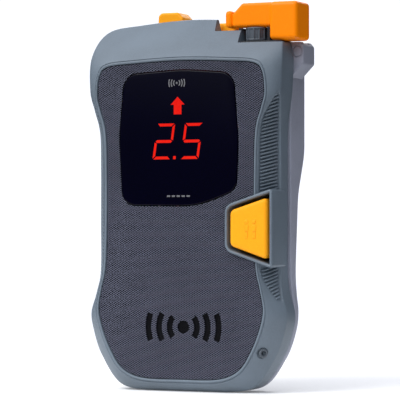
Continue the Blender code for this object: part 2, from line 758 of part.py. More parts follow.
def battery(index, z):
    """One cell; the middle one lies the other way round, so its nub points to the left."""
    way = -1.0 if index == 2 else 1.0
    middle = CELL_LEFT + (CELL_BODY + CELL_NUB) / 2
    body = (middle - way * CELL_NUB / 2, CELL_DEPTH, z)
    nub = (middle + way * CELL_BODY / 2, CELL_DEPTH, z)
    cell = rod(f"battery_{index}", body, CELL_RADIUS, CELL_BODY, SIDEWAYS, cell_sleeve(), 24)
    join(cell, rod(
        f"battery_nub_{index}", nub, 1.9, CELL_NUB + 0.2, SIDEWAYS, cell_sleeve(), 12))
    if way > 0:
        ends, turns, wire = (-25.0, CELL_LEFT - 0.55), 3, 0.25
    else:
        ends, turns, wire = (CELL_LEFT + CELL_BODY + CELL_NUB + 0.45, 24.2), 1, 0.2
    start, end = ((x, CELL_DEPTH, z) for x in ends)
    coil(f"battery_spring_{index}", start, end, 2.6, turns, wire, steel())


def contact_plates():
    box("left_contact_plate", (-25.7, -25.4), (15.5, 23.0), (73.0, 103.0), steel())
    box("right_contact_plate", (24.6, 24.9), (15.5, 23.0), (73.0, 103.0), steel())


def battery_door():
    pivot = bpy.data.objects.new("door_pivot", None)
    pivot.location = at(0.0, HINGE_DEPTH, HINGE_HEIGHT)
    ITEMS.objects.link(pivot)
    outline = [
        (-DOOR_HALF_WIDTH, HINGE_HEIGHT - 0.6), (DOOR_HALF_WIDTH, HINGE_HEIGHT - 0.6),
        (DOOR_HALF_WIDTH, DOOR_TOP), (5.0, DOOR_TOP), (5.0, 111.8), (-5.0, 111.8), (-5.0, DOOR_TOP),
        (-DOOR_HALF_WIDTH, DOOR_TOP)]
    door = flat_piece("battery_door", [outline], (DOOR_FRONT, BACK_DEPTH), back_grey())
    join(door, box("door_tab", (-5.0, 5.0), (23.2, 25.5), (105.3, 111.8), back_grey()))
    for side in (-1, 1):
        pin = (side * 27.6, HINGE_DEPTH, HINGE_HEIGHT)
        join(door, rod(f"hinge_pin_{side + 2}", pin, 0.5, 1.8, SIDEWAYS, back_grey(), 12))
    cut(door, rod("door_screw_hole", on_door_screw(24.0), 1.65, 8.0, BACKWARDS, back_grey(), 16))
    cut(door, rod("door_screw_seat", on_door_screw(26.1), 3.0, 3.0, BACKWARDS, back_grey(), 20))
    door.parent = pivot
    door.matrix_parent_inverse = Matrix.Translation(-pivot.location)
    flat_piece("door_seal", [
        rectangle((-27.1, 27.1), (74.9, 104.9), 0.8), rectangle((-26.3, 26.0), (75.5, 104.2), 0.5)],
        (24.35, 24.65), rubber())


def on_door_screw(depth):
    """The point of the door screw's axis at a depth."""
    return (0.0, depth, DOOR_SCREW_HEIGHT)


def door_screw():
    """The coin screw that holds the door shut, and its brass insert in the back shell."""
    screw = rod("door_screw", on_door_screw(23.2), 1.2, 4.4, BACKWARDS, steel(), 16)
    join(screw, rod("door_screw_head", on_door_screw(25.3), 2.6, 0.9, BACKWARDS, steel(), 20))
    cut(screw, box("coin_slot", (-2.2, 2.2), (25.3, 27.0), (107.2, 108.0), steel()))
    insert = rod("door_insert", on_door_screw(INSERT_DEPTH), 2.3, 3.4, BACKWARDS, brass(), 16)
    cut(insert, rod("insert_bore", on_door_screw(INSERT_DEPTH), 1.7, 5.0, BACKWARDS, brass(), 16))


# ---------------------------------------------------------------------------------------------
# Electronics
# ---------------------------------------------------------------------------------------------

def main_board():
    flat_piece("main_board", [[
        (-21.0, 18.5), (21.0, 18.5), (21.0, 43.0), (27.4, 43.0), (27.4, 56.4), (21.0, 56.4),
        (21.0, 95.2), (-21.0, 95.2)]], (9.6, 11.2), board_green())
    box("processor_chip", (-14.0, -4.0), (8.1, 9.3), (36.0, 46.0), dark_plastic(), bevel=0.15)


def ferrite_antenna(name, centre, axis, length, coil_length):
    """A ferrite rod with its winding, which is a sleeve of wire around the rod's middle."""
    rod(f"{name}_core", centre, ROD_RADIUS, length, axis, ferrite(), 16)
    winding = rod(f"{name}_coil", centre, WINDING_RADIUS, coil_length, axis, copper(), 20)
    cut(winding, rod(f"{name}_sleeve", centre, 2.6, coil_length + 4, axis, copper(), 16))


def antennas():
    ferrite_antenna("antenna_x", (-1.0, ANTENNA_DEPTH, 24.0), SIDEWAYS, 38.0, 20.0)
    ferrite_antenna("antenna_z", (-18.0, ANTENNA_DEPTH, 43.0), UPWARDS, 24.0, 14.0)
    ring_centre = (1.0, ANTENNA_DEPTH, 42.0)
    ring = rod("antenna_y_coil", ring_centre, 10.0, 3.0, BACKWARDS, copper(), 32)
    cut(ring, rod("antenna_y_hole", ring_centre, 8.2, 6.0, BACKWARDS, copper(), 32))


def speaker():
    body = rod("speaker", (10.0, 13.3, 30.0), 7.5, 3.4, BACKWARDS, dark_plastic(), 28)
    cut(body, rod("speaker_dish", (10.0, 15.2, 30.0), 5.5, 1.8, BACKWARDS, dark_plastic(), 24))


def build():
    clear_scene()
    front_shell()
    front_panel()
    display()
    port_mesh()
    back_shell()
    case_seal()
    case_screws()
    leash_pin()
    option_button()
    mode_lever()
    lever_shaft()
    lever_bearing()
    torus("shaft_seal", (LEVER_X, LEVER_DEPTH, 101.0), 1.85, 0.28, rubber())
    lock_slider()
    lock_spring()
    for index, height in enumerate(CELL_HEIGHTS, 1):
        battery(index, height)
    contact_plates()
    battery_door()
    door_screw()
    main_board()
    antennas()
    speaker()


build()
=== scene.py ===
"""Looks of the avalanche transceiver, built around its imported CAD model.

Sizes are in millimetres, and MM turns them into metres. X points to the right of the display, +Z is
up from the flat foot, and places along Y are depths behind the front plane, as in the CAD source.
Every new piece is made in place, so its object coordinates are the model's own.
"""

import math

import bmesh
import bpy
from mathutils import Matrix, Vector

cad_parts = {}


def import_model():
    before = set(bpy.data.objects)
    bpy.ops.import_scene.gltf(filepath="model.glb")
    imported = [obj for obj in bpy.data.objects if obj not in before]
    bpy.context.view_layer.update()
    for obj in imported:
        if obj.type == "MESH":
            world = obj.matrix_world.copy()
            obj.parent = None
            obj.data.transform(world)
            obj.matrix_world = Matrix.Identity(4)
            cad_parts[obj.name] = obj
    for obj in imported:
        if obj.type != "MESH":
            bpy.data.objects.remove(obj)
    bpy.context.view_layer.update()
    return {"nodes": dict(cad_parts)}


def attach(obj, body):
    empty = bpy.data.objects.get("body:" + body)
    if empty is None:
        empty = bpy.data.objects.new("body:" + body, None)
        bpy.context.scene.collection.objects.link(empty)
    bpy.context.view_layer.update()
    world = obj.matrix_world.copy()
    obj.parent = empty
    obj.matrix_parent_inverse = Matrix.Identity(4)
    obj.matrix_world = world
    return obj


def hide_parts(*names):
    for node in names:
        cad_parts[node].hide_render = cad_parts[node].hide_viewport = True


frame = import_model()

NODES = frame["nodes"]

MM = 0.001
ORIGIN_DEPTH = 10.0

# ---- Dimensions shared with the CAD source ----

PARTING_DEPTH = 12.5
BACK_START = 12.8
BACK_DEPTH = 26.0
FRONT_WALL = 2.0
BACK_WALL = 2.2
RIM_WIDTH = 0.9
CLEAR_TOP = 130.0

# Half of the case from the middle of the foot to the middle of the top: the panel's edge (x, z),
# the front shell's outer edge (x, z), the depth of its shoulder, the back shell's edge (x, z).
STATIONS = [
    (0.0, 3.8, 0.0, 0.0, 5.0, 0.0, 0.0),
    (12.8, 4.1, 13.5, 0.0, 5.0, 13.5, 0.0),
    (19.6, 6.9, 22.8, 2.0, 5.2, 22.8, 2.0),
    (23.6, 12.6, 29.3, 10.5, 5.6, 29.3, 10.5),
    (26.3, 18.9, 32.3, 18.3, 5.9, 32.3, 18.3),
    (27.6, 25.0, 33.1, 23.8, 6.0, 33.0, 24.0),
    (26.5, 31.8, 31.6, 29.5, 6.8, 32.2, 30.0),
    (25.2, 38.0, 30.7, 36.0, 7.8, 31.6, 37.0),
    (24.7, 52.0, 30.7, 52.0, 7.8, 31.5, 52.0),
    (24.7, 68.0, 30.7, 68.0, 7.8, 31.5, 68.0),
    (25.2, 79.5, 30.8, 79.5, 7.4, 31.5, 80.0),
    (27.0, 86.0, 31.6, 86.5, 5.2, 31.5, 90.0),
    (28.1, 90.5, 32.3, 92.5, 3.5, 31.5, 97.0),
    (27.4, 96.8, 32.3, 103.0, 4.5, 31.4, 104.0),
    (24.6, 99.5, 29.0, 110.9, 9.5, 28.6, 110.8),
    (16.0, 100.3, 18.0, 113.0, 11.0, 18.0, 112.3),
    (0.0, 100.9, 0.0, 114.1, 11.0, 0.0, 113.4),
]
PANEL, FRONT, BACK = 0, 2, 5
SHOULDER = 4
SAMPLES = 12

# Height and depth of the back surface, joined by straight lines.
BACK_MARKS = [(0.0, 17.4), (22.0, 17.4), (60.3, 21.0), (72.6, 26.0), (200.0, 26.0)]
BACK_BLEND = 2.5

WINDOW_CORNERS = [
    (-19.3, 56.9, 4.6), (6.0, 56.6, 30.0), (18.9, 61.3, 4.5), (19.5, 76.0, 40.0),
    (17.9, 96.6, 4.8), (1.0, 98.0, 60.0), (-18.8, 96.9, 5.2), (-20.4, 78.0, 50.0),
]
SURROUND_CORNERS = [(15.5, 42.9, 3.2), (31.2, 37.6, 1.0), (31.2, 61.8, 1.0), (15.5, 56.7, 3.2)]
BUTTON_CORNERS = [(17.5, 44.5, 1.8), (29.6, 40.4, 1.0), (29.6, 59.0, 1.0), (17.5, 55.1, 1.8)]
WINDOW_FRONT = 0.25
DIGIT_BOTTOM = 70.8
DISPLAY_TOP = 90.0
CASE_SCREWS = [
    (-24.0, 14.0, 15.0), (24.0, 14.0, 15.0), (-26.5, 66.0, 20.0), (26.5, 66.0, 20.0),
    (-27.0, 107.3, 23.0),
]
LEVER_X = 21.3
LEVER_DEPTH = 10.5
DOOR_SCREW_HEIGHT = 107.6
LEASH_X = 33.6
LEASH_Z = 103.4
PORT_AXIS = (0.79, -0.6, -0.1)
PORT_PLACE = (26.9, 1.9, 12.3)


# ---- Making meshes ----

def at(x, depth, z):
    return Vector((x * MM, (depth - ORIGIN_DEPTH) * MM, z * MM))


def add_object(name, mesh, smooth_angle=40):
    item = bpy.data.objects.new(name, mesh)
    bpy.context.scene.collection.objects.link(item)
    mesh.shade_smooth()
    mesh.set_sharp_from_angle(angle=math.radians(smooth_angle))
    return item


def from_bmesh(name, bm, smooth_angle=40):
    bmesh.ops.recalc_face_normals(bm, faces=bm.faces)
    mesh = bpy.data.meshes.new(name)
    bm.to_mesh(mesh)
    bm.free()
    return add_object(name, mesh, smooth_angle)


def skin(bm, rings, closed):
    """Vertices at the rings' places, with quads between each ring and the next."""
    made = [[bm.verts.new(point) for point in ring] for ring in rings]
    following = made[1:] + made[:1] if closed else made[1:]
    for here, ahead in zip(made, following):
        for index in range(len(here)):
            beside = (index + 1) % len(here)
            bm.faces.new((here[index], here[beside], ahead[beside], ahead[index]))
    return made


def loft(name, rings, closed=True, capped=False, smooth_angle=40):
    """Quads between rings of (x, depth, z); closed joins the last to the first, capped fills both ends."""
    bm = bmesh.new()
    made = skin(bm, [[at(*point) for point in ring] for ring in rings], closed)
    if capped:
        bm.faces.new(made[0])
        bm.faces.new(made[-1])
    return from_bmesh(name, bm, smooth_angle)


def joined(name, items, smooth_angle=40):
    """One object holding the meshes of several, each still its own closed body."""
    bm = bmesh.new()
    for item in items:
        bm.from_mesh(item.data)
        bpy.data.objects.remove(item)
    return from_bmesh(name, bm, smooth_angle)


def rounded(corners, shrink=0.0, steps=10):
    """A closed outline through corners (x, z, radius), moved inwards by shrink."""
    count = len(corners)
    places = [Vector(corner[:2]) for corner in corners]
    points = []
    for index, (_, _, radius) in enumerate(corners):
        before = (places[index - 1] - places[index]).normalized()
        after = (places[(index + 1) % count] - places[index]).normalized()
        half = before.angle(after) / 2
        inwards = (before + after).normalized() / math.sin(half)
        corner = places[index] + inwards * shrink
        bend = max(radius - shrink, 0.12)
        middle = corner + inwards * bend
        start = corner + before * bend / math.tan(half) - middle
        end = corner + after * bend / math.tan(half) - middle
        for step in range(steps + 1):
            spoke = start.lerp(end, step / steps)
            points.append(tuple(middle + spoke.normalized() * bend))
    return points


def circle(centre, radius, steps=32):
    angles = [math.tau * step / steps for step in range(steps)]
    return [(centre[0] + radius * math.cos(angle), centre[1] + radius * math.sin(angle)) for angle in angles]


def arc_band(centre, radius, half_angle, stroke, facing, steps=14):
    """A curved stroke with square ends, centred on the direction facing, in degrees."""
    points = []
    for reach, order in ((radius + stroke / 2, 1), (radius - stroke / 2, -1)):
        for step in range(steps + 1):
            share = step / steps * 2 - 1
            angle = math.radians(facing + order * share * half_angle)
            points.append((centre[0] + reach * math.cos(angle), centre[1] + reach * math.sin(angle)))
    return points


def level(outline, depth):
    return [(x, depth, z) for x, z in outline]


def pillow(name, corners, profile, steps=10, smooth_angle=40):
    """A solid through insets of one outline: the profile gives (inset, depth) from back to front."""
    rings = [level(rounded(corners, inset, steps), depth) for inset, depth in profile]
    return loft(name, rings, closed=False, capped=True, smooth_angle=smooth_angle)


def round_edge(radius, front, steps=5, start=0.0):
    """Profile points (inset, depth) of an edge that rounds towards a front face."""
    points = []
    for step in range(steps + 1):
        angle = math.pi / 2 * step / steps
        points.append((start + radius * (1 - math.cos(angle)), front + radius * (1 - math.sin(angle))))
    return points


def flat_piece(name, outlines, front, back, smooth_angle=40):
    """A plate from closed (x, z) outlines, the first its edge and the others its holes."""
    curve = bpy.data.curves.new(name, "CURVE")
    curve.dimensions = "2D"
    curve.fill_mode = "BOTH"
    curve.extrude = (back - front) / 2 * MM
    for outline in outlines:
        spline = curve.splines.new("POLY")
        spline.points.add(len(outline) - 1)
        for point, (x, z) in zip(spline.points, outline):
            point.co = (x * MM, z * MM, 0.0, 1.0)
        spline.use_cyclic_u = True
    drawn = bpy.data.objects.new(name + "_outline", curve)
    bpy.context.scene.collection.objects.link(drawn)
    view = bpy.context.evaluated_depsgraph_get()
    mesh = bpy.data.meshes.new_from_object(drawn.evaluated_get(view))
    bpy.data.objects.remove(drawn)
    bm = bmesh.new()
    bm.from_mesh(mesh)
    bmesh.ops.remove_doubles(bm, verts=bm.verts, dist=0.0000005)
    place = Matrix.Translation(at(0, (front + back) / 2, 0)) @ Matrix.Rotation(math.pi / 2, 4, "X")
    bmesh.ops.transform(bm, matrix=place, verts=bm.verts)
    return from_bmesh(name, bm, smooth_angle)


def soft_box(name, x_range, depth_range, z_range, radius=0.0, segments=3):
    """A block with rounded edges, or with sharp ones when the radius is nought."""
    low = at(x_range[0], depth_range[0], z_range[0])
    high = at(x_range[1], depth_range[1], z_range[1])
    bm = bmesh.new()
    bmesh.ops.create_cube(bm, size=1.0)
    bmesh.ops.scale(bm, vec=high - low, verts=bm.verts)
    bmesh.ops.translate(bm, vec=(low + high) / 2, verts=bm.verts)
    if radius:
        bmesh.ops.bevel(
            bm, geom=bm.edges[:], offset=radius * MM, segments=segments, profile=0.5, affect="EDGES")
    return from_bmesh(name, bm)


def turned(name, centre, axis, profile, sides=48, smooth_angle=35):
    """A solid of revolution: the profile gives (place along the axis, radius), with flat ends."""
    rings = [[
        (x * MM, y * MM, along * MM) for x, y in circle((0.0, 0.0), radius, sides)]
        for along, radius in profile]
    bm = bmesh.new()
    made = skin(bm, rings, closed=False)
    bm.faces.new(made[0])
    bm.faces.new(made[-1])
    turn = Vector((0, 0, 1)).rotation_difference(Vector(axis)).to_matrix().to_4x4()
    bmesh.ops.transform(bm, matrix=Matrix.Translation(at(*centre)) @ turn, verts=bm.verts)
    return from_bmesh(name, bm, smooth_angle)


def rod(name, centre, radius, length, axis, sides=32):
    half = length / 2
    return turned(name, centre, axis, [(-half, radius), (half, radius)], sides)


def apply_modifiers(item):
    view = bpy.context.evaluated_depsgraph_get()
    mesh = bpy.data.meshes.new_from_object(item.evaluated_get(view))
    item.modifiers.clear()
    item.data = mesh
    return item


def combine(target, operation, tools):
    """Cut or join the target with tools, which are used up."""
    for tool in tools:
        change = target.modifiers.new(tool.name, "BOOLEAN")
        change.object = tool
        change.operation = operation
        change.solver = "EXACT"
    apply_modifiers(target)
    for tool in tools:
        bpy.data.objects.remove(tool)
    target.data.shade_smooth()
    target.data.set_sharp_from_angle(angle=math.radians(30))
    return target


def melt(item, voxel, smoothing):
    """Merge overlapping bodies into one skin with soft fillets."""
    remesh = item.modifiers.new("Skin", "REMESH")
    remesh.mode = "VOXEL"
    remesh.voxel_size = voxel * MM
    soften = item.modifiers.new("Fillets", "SMOOTH")
    soften.factor = 0.5
    soften.iterations = smoothing
    apply_modifiers(item)
    item.data.shade_smooth()
    return item


def place(piece, body, slot, finish, *replaced):
    """Give a piece its material, its body and the CAD nodes it stands for; the slot argument is not used."""
    piece.data.materials.clear()
    piece.data.materials.append(finish)
    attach(piece, body)
    if replaced:
        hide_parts(*replaced)
    return piece


# ---- Materials ----

class Nodes:
    """Short ways to add, set and link the shader nodes of a material or a world."""

    def __init__(self, owner, shader="Principled BSDF", place="Object"):
        self.owner = owner
        owner.use_nodes = True
        self.tree = owner.node_tree
        self.shader = self.tree.nodes[shader]
        self.place = self.add("ShaderNodeTexCoord").outputs[place]

    def add(self, kind, **settings):
        node = self.tree.nodes.new(kind)
        for key, value in settings.items():
            setattr(node, key, value)
        return node

    def link(self, output, socket):
        self.tree.links.new(output, socket)

    def fix(self, name, value):
        """Set a value that is the same all over on the shader's own socket."""
        self.shader.inputs[name].default_value = value

    def drive(self, name, output):
        self.link(output, self.shader.inputs[name])

    def noise(self, scale, detail=2.0, roughness=0.5):
        node = self.add("ShaderNodeTexNoise")
        self.link(self.place, node.inputs["Vector"])
        node.inputs["Scale"].default_value = scale
        node.inputs["Detail"].default_value = detail
        node.inputs["Roughness"].default_value = roughness
        return node.outputs["Fac"]

    def remap(self, value, low, high, new_low, new_high, interpolation="LINEAR"):
        node = self.add("ShaderNodeMapRange", interpolation_type=interpolation)
        self.link(value, node.inputs["Value"])
        ends = {"From Min": low, "From Max": high, "To Min": new_low, "To Max": new_high}
        for key, number in ends.items():
            node.inputs[key].default_value = number
        return node.outputs["Result"]

    def spread(self, noise, low=0.0, high=1.0):
        """The middle of a noise's range, stretched from low to high."""
        return self.remap(noise, 0.3, 0.7, low, high)

    def mix(self, share, first, second):
        """Mix two colours, each a colour or another node's output."""
        node = self.add("ShaderNodeMix", data_type="RGBA")
        self.link(share, node.inputs["Factor"])
        for socket, value in ((node.inputs["A"], first), (node.inputs["B"], second)):
            if isinstance(value, tuple):
                socket.default_value = (*value, 1.0)
            else:
                self.link(value, socket)
        return node.outputs["Result"]

    def math(self, operation, first, second=0.0):
        node = self.add("ShaderNodeMath", operation=operation)
        self.link(first, node.inputs[0])
        if isinstance(second, float):
            node.inputs[1].default_value = second
        else:
            self.link(second, node.inputs[1])
        return node.outputs["Value"]

    def along(self, axis):
        """The place along X, Y or Z, in metres."""
        node = self.add("ShaderNodeSeparateXYZ")
        self.link(self.place, node.inputs["Vector"])
        return node.outputs[axis]

    def rounding(self, radius):
        """Normals rounded over the edges, and a mask that is 1 on the edges."""
        bevel = self.add("ShaderNodeBevel", samples=6)
        bevel.inputs["Radius"].default_value = radius * MM
        shape = self.add("ShaderNodeNewGeometry")
        facing = self.add("ShaderNodeVectorMath", operation="DOT_PRODUCT")
        self.link(bevel.outputs["Normal"], facing.inputs[0])
        self.link(shape.outputs["Normal"], facing.inputs[1])
        return bevel.outputs["Normal"], self.remap(facing.outputs["Value"], 0.995, 0.86, 0.0, 1.0)

    def bump(self, height, strength, distance, normal=None):
        """Raise the surface by up to a distance in millimetres."""
        node = self.add("ShaderNodeBump")
        self.link(height, node.inputs["Height"])
        node.inputs["Strength"].default_value = strength
        node.inputs["Distance"].default_value = distance * MM
        if normal is not None:
            self.link(normal, node.inputs["Normal"])
        self.drive("Normal", node.outputs["Normal"])


def new_finish(name):
    return Nodes(bpy.data.materials.new(name))


def shade(colour, share):
    return tuple(min(part * share, 1.0) for part in colour)


FINE_GRAIN = 5200.0
SPECKLE = 1700.0
SLOW_TONES = 70.0
BAND_WIDTH = 12.0


def moulded(name, colour, roughness, grain=0.35, wear_and_highlight=0.25, variation=0.1, edge=0.25, specular=0.5,
            grain_scale=FINE_GRAIN, painted_glow=0.0):
    """Moulded plastic with a spark-eroded grain, slow tone changes, lighter edges that are partly rubbed wear
    and partly a painted highlight, and an optional painted glow.
    """
    nodes = new_finish(name)
    nodes.fix("Specular IOR Level", specular)
    # A painted glow: emission in the plastic's own colour, though the part is no lamp.
    nodes.fix("Emission Color", (*colour, 1.0))
    nodes.fix("Emission Strength", painted_glow)
    fine = nodes.noise(grain_scale, 2.0, 0.6)
    broad = nodes.noise(SLOW_TONES, 3.0, 0.55)
    speckle = nodes.noise(SPECKLE, 3.0, 0.7)
    normal, edges = nodes.rounding(edge)
    tone = nodes.mix(nodes.spread(broad), shade(colour, 1 - variation), shade(colour, 1 + variation))
    tone = nodes.mix(nodes.remap(speckle, 0.35, 0.75, 0.0, 0.35), tone, shade(colour, 1.25))
    # Lighter edges, mixed towards a paler copy of the colour: partly rubbed wear, partly a painted highlight.
    rubbed_and_highlit = nodes.math("MULTIPLY", edges, nodes.spread(speckle, 0.35 * wear_and_highlight, wear_and_highlight))
    nodes.drive("Base Color", nodes.mix(rubbed_and_highlit, tone, shade(colour, 2.1)))
    nodes.drive("Roughness", nodes.remap(fine, 0.25, 0.75, roughness + 0.07, roughness - 0.07))
    nodes.bump(fine, grain, 0.05, normal)
    return nodes.owner


def metal(name, colour, roughness, scratch=0.3):
    """Machined metal with fine turning marks, small tone changes and a painted highlight on its edges."""
    nodes = new_finish(name)
    nodes.fix("Metallic", 1.0)
    fine = nodes.noise(3800.0, 3.0, 0.65)
    broad = nodes.noise(420.0, 3.0, 0.6)
    normal, edges = nodes.rounding(0.12)
    tone = nodes.mix(nodes.spread(broad), shade(colour, 0.82), shade(colour, 1.1))
    # Paler towards the edges: a painted edge highlight.
    nodes.drive("Base Color", nodes.mix(nodes.math("MULTIPLY", edges, 0.4), tone, shade(colour, 1.5)))
    nodes.drive("Roughness", nodes.remap(fine, 0.25, 0.75, roughness - 0.08, roughness + 0.12))
    nodes.bump(fine, scratch, 0.02, normal)
    return nodes.owner


def wound_wire(name, axis, pitch=0.35, colour=(0.7, 0.26, 0.09)):
    """Turns of enamelled wire side by side along an axis, with painted shade in the grooves between them."""
    nodes = new_finish(name)
    nodes.fix("Metallic", 0.85)
    turns = nodes.math("SINE", nodes.math("MULTIPLY", nodes.along(axis), math.tau / (pitch * MM)))
    broad = nodes.noise(300.0, 3.0)
    # Darker between the turns: painted shade in the grooves.
    tone = nodes.mix(nodes.remap(turns, -1.0, 1.0, 0.0, 1.0), shade(colour, 0.45), shade(colour, 1.1))
    nodes.drive("Base Color", nodes.mix(nodes.remap(broad, 0.4, 0.8, 0.0, 0.3), tone, shade(colour, 1.3)))
    nodes.drive("Roughness", nodes.spread(broad, 0.28, 0.45))
    nodes.bump(turns, 0.8, 0.06)
    return nodes.owner


def circuit_board(name):
    """Green solder mask with copper tracks under it and bare pads."""
    nodes = new_finish(name)
    tracks = nodes.add("ShaderNodeTexBrick")
    nodes.link(nodes.place, tracks.inputs["Vector"])
    tracks.inputs["Scale"].default_value = 420.0
    tracks.inputs["Mortar Size"].default_value = 0.035
    tracks.inputs["Color1"].default_value = (0.004, 0.075, 0.03, 1.0)
    tracks.inputs["Color2"].default_value = (0.006, 0.095, 0.04, 1.0)
    tracks.inputs["Mortar"].default_value = (0.02, 0.2, 0.08, 1.0)
    pads = nodes.add("ShaderNodeTexVoronoi")
    nodes.link(nodes.place, pads.inputs["Vector"])
    pads.inputs["Scale"].default_value = 330.0
    spots = nodes.remap(pads.outputs["Distance"], 0.2, 0.17, 0.0, 1.0)
    nodes.drive("Base Color", nodes.mix(spots, tracks.outputs["Color"], (0.6, 0.55, 0.4)))
    nodes.drive("Roughness", nodes.spread(nodes.noise(900.0), 0.3, 0.5))
    nodes.bump(tracks.outputs["Fac"], 0.4, 0.03)
    return nodes.owner


def cell_wrap(name, cap_x, way):
    """Printed sleeve of a battery cell: dark, with a copper-coloured band by the plus end and a steel cap."""
    nodes = new_finish(name)
    nodes.fix("Coat Weight", 0.4)
    band_edge = (cap_x - way * BAND_WIDTH) * MM
    place_x = nodes.along("X")
    band = nodes.remap(place_x, band_edge - way * 0.00005, band_edge + way * 0.00005, 0.0, 1.0)
    broad = nodes.spread(nodes.noise(250.0, 2.0))
    dark = nodes.mix(broad, (0.016, 0.017, 0.02), (0.03, 0.031, 0.036))
    warm = nodes.mix(broad, (0.5, 0.24, 0.07), (0.62, 0.32, 0.1))
    cap = nodes.remap(place_x, cap_x * MM, cap_x * MM + way * 0.0001, 0.0, 1.0)
    nodes.drive("Base Color", nodes.mix(cap, nodes.mix(band, dark, warm), (0.62, 0.62, 0.62)))
    nodes.drive("Roughness", nodes.spread(nodes.noise(1500.0), 0.24, 0.38))
    nodes.drive("Metallic", cap)
    nodes.bump(nodes.noise(2500.0), 0.15, 0.02)
    return nodes.owner


def lit_segment(name):
    """Red light-emitting segments, a little more orange towards their lower end, with a soft grain."""
    nodes = new_finish(name)
    fine = nodes.noise(2600.0, 2.0)
    tall = nodes.remap(nodes.along("Z"), DIGIT_BOTTOM * MM, DISPLAY_TOP * MM, 0.0, 1.0)
    tone = nodes.mix(tall, (0.92, 0.012, 0.005), (0.8, 0.004, 0.004))
    nodes.drive("Emission Color", nodes.mix(nodes.spread(fine, 0.0, 0.25), tone, (1.0, 0.035, 0.01)))
    nodes.fix("Emission Strength", 0.88)
    nodes.fix("Specular IOR Level", 0.05)
    nodes.drive("Base Color", nodes.mix(nodes.spread(fine), (0.06, 0.002, 0.001), (0.1, 0.004, 0.002)))
    nodes.drive("Roughness", nodes.spread(fine, 0.3, 0.45))
    return nodes.owner


CASE_GREY = (0.128, 0.163, 0.2)
# Lighter than the case grey so that the back shell's side, which catches more light, reads lighter: painted
# light.
BACK_GREY = (0.29, 0.305, 0.375)
PANEL_GREY = (0.06, 0.063, 0.085)
ORANGE = (0.93, 0.225, 0.0)
YELLOW = (0.95, 0.37, 0.012)
DARK = (0.014, 0.015, 0.02)

CASE_PLASTIC = moulded("case_plastic", CASE_GREY, 0.5)
BACK_PLASTIC = moulded("back_plastic", BACK_GREY, 0.55, grain=0.45)
# The panel plate is a much darker copy and the lattice a much lighter copy of PANEL_GREY: painted shade in
# the cells and painted highlight on the ridge tops.
PANEL_PAINTED_SHADE = moulded("panel_plastic", shade(PANEL_GREY, 0.12), 0.55, grain=0.2, edge=0.03, specular=0.06)
LATTICE_PAINTED_HIGHLIGHT = moulded(
    "lattice_painted_highlight", shade(PANEL_GREY, 2.9), 0.5, grain=0.1, wear_and_highlight=0.0, edge=0.01, specular=0.15)
MARK_PLASTIC = moulded("mark_plastic", (0.0008, 0.0008, 0.002), 0.3, grain=0.1, wear_and_highlight=0.0, specular=0.15)
# The orange and yellow plastics carry a painted glow that brightens them beyond their lighting.
ORANGE_PLASTIC = moulded(
    "orange_plastic", ORANGE, 0.36, grain=0.1, wear_and_highlight=0.15, variation=0.03, specular=0.16, painted_glow=0.12)
BUTTON_PLASTIC = moulded(
    "button_plastic", YELLOW, 0.38, grain=0.15, wear_and_highlight=0.15, variation=0.03, specular=0.12, painted_glow=0.07)
DARK_PLASTIC = moulded("dark_plastic", DARK, 0.5, grain=0.3)
HUB_PLASTIC = moulded("hub_plastic", (0.07, 0.085, 0.105), 0.45, grain=0.3)
WINDOW_PLASTIC = moulded(
    "window_plastic", (0.0004, 0.0003, 0.005), 0.12, grain=0.01, wear_and_highlight=0.0, edge=0.1, specular=0.12)
LABEL_PAINT = moulded("label_paint", (0.13, 0.13, 0.14), 0.5, grain=0.1, wear_and_highlight=0.0, edge=0.02)
RUBBER = moulded("rubber", (0.012, 0.012, 0.013), 0.8, grain=0.5, wear_and_highlight=0.1, specular=0.3)
FERRITE = moulded("ferrite", (0.03, 0.03, 0.033), 0.6, grain=0.6, wear_and_highlight=0.3, grain_scale=2600.0)
STEEL = metal("steel", (0.52, 0.52, 0.53), 0.3)
BRASS = metal("brass", (0.72, 0.5, 0.2), 0.32)
DISPLAY_RED = lit_segment("display_red")


# ---- Outlines of the case ----

def spline_value(before, start, end, after, t):
    """Catmull-Rom value between start and end."""
    return 0.5 * (
        2 * start + (end - before) * t
        + (2 * before - 5 * start + 4 * end - after) * t ** 2
        + (3 * start - before - 3 * end + after) * t ** 3)


def mirror(station):
    return tuple(-value if column in (PANEL, FRONT, BACK) else value for column, value in enumerate(station))


def smooth_half():
    """The stations with SAMPLES points to each stretch, along a smooth curve through them all."""
    keys = [mirror(STATIONS[1])] + STATIONS + [mirror(STATIONS[-2])]
    points = []
    for index in range(1, len(keys) - 2):
        for step in range(SAMPLES):
            t = step / SAMPLES
            points.append(tuple(
                spline_value(*(keys[index + k][column] for k in (-1, 0, 1, 2)), t)
                for column in range(7)))
    points.append(STATIONS[-1])
    return points


HALF = smooth_half()
WHOLE = HALF + [mirror(station) for station in reversed(HALF[1:-1])]


def outline_of(column):
    return [(station[column], max(station[column + 1], 0.0)) for station in WHOLE]


def inset(outline, distance):
    """The outline moved inwards by a distance along its normals."""
    moved = []
    count = len(outline)
    for index, (x, z) in enumerate(outline):
        ahead = outline[(index + 1) % count]
        behind = outline[index - 1]
        along = Vector((ahead[0] - behind[0], ahead[1] - behind[1])).normalized()
        moved.append((x - along.y * distance, z + along.x * distance))
    return moved


def back_depth_sharp(z):
    for low, high in zip(BACK_MARKS, BACK_MARKS[1:]):
        if z <= high[0]:
            share = max(0.0, (z - low[0]) / (high[0] - low[0]))
            return low[1] + (high[1] - low[1]) * share
    return BACK_DEPTH


def back_depth(z):
    """Depth of the back surface at a height, with its kinks rounded off."""
    spread = [back_depth_sharp(z + BACK_BLEND * step / 4) for step in range(-4, 5)]
    return sum(spread) / len(spread)


def ease(value, low, high):
    """0 below low, 1 above high and a soft step between them."""
    share = min(max((value - low) / (high - low), 0.0), 1.0)
    return share * share * (3 - 2 * share)


# ---- Front shell: rim, slanted faces, grips and the button's surround ----

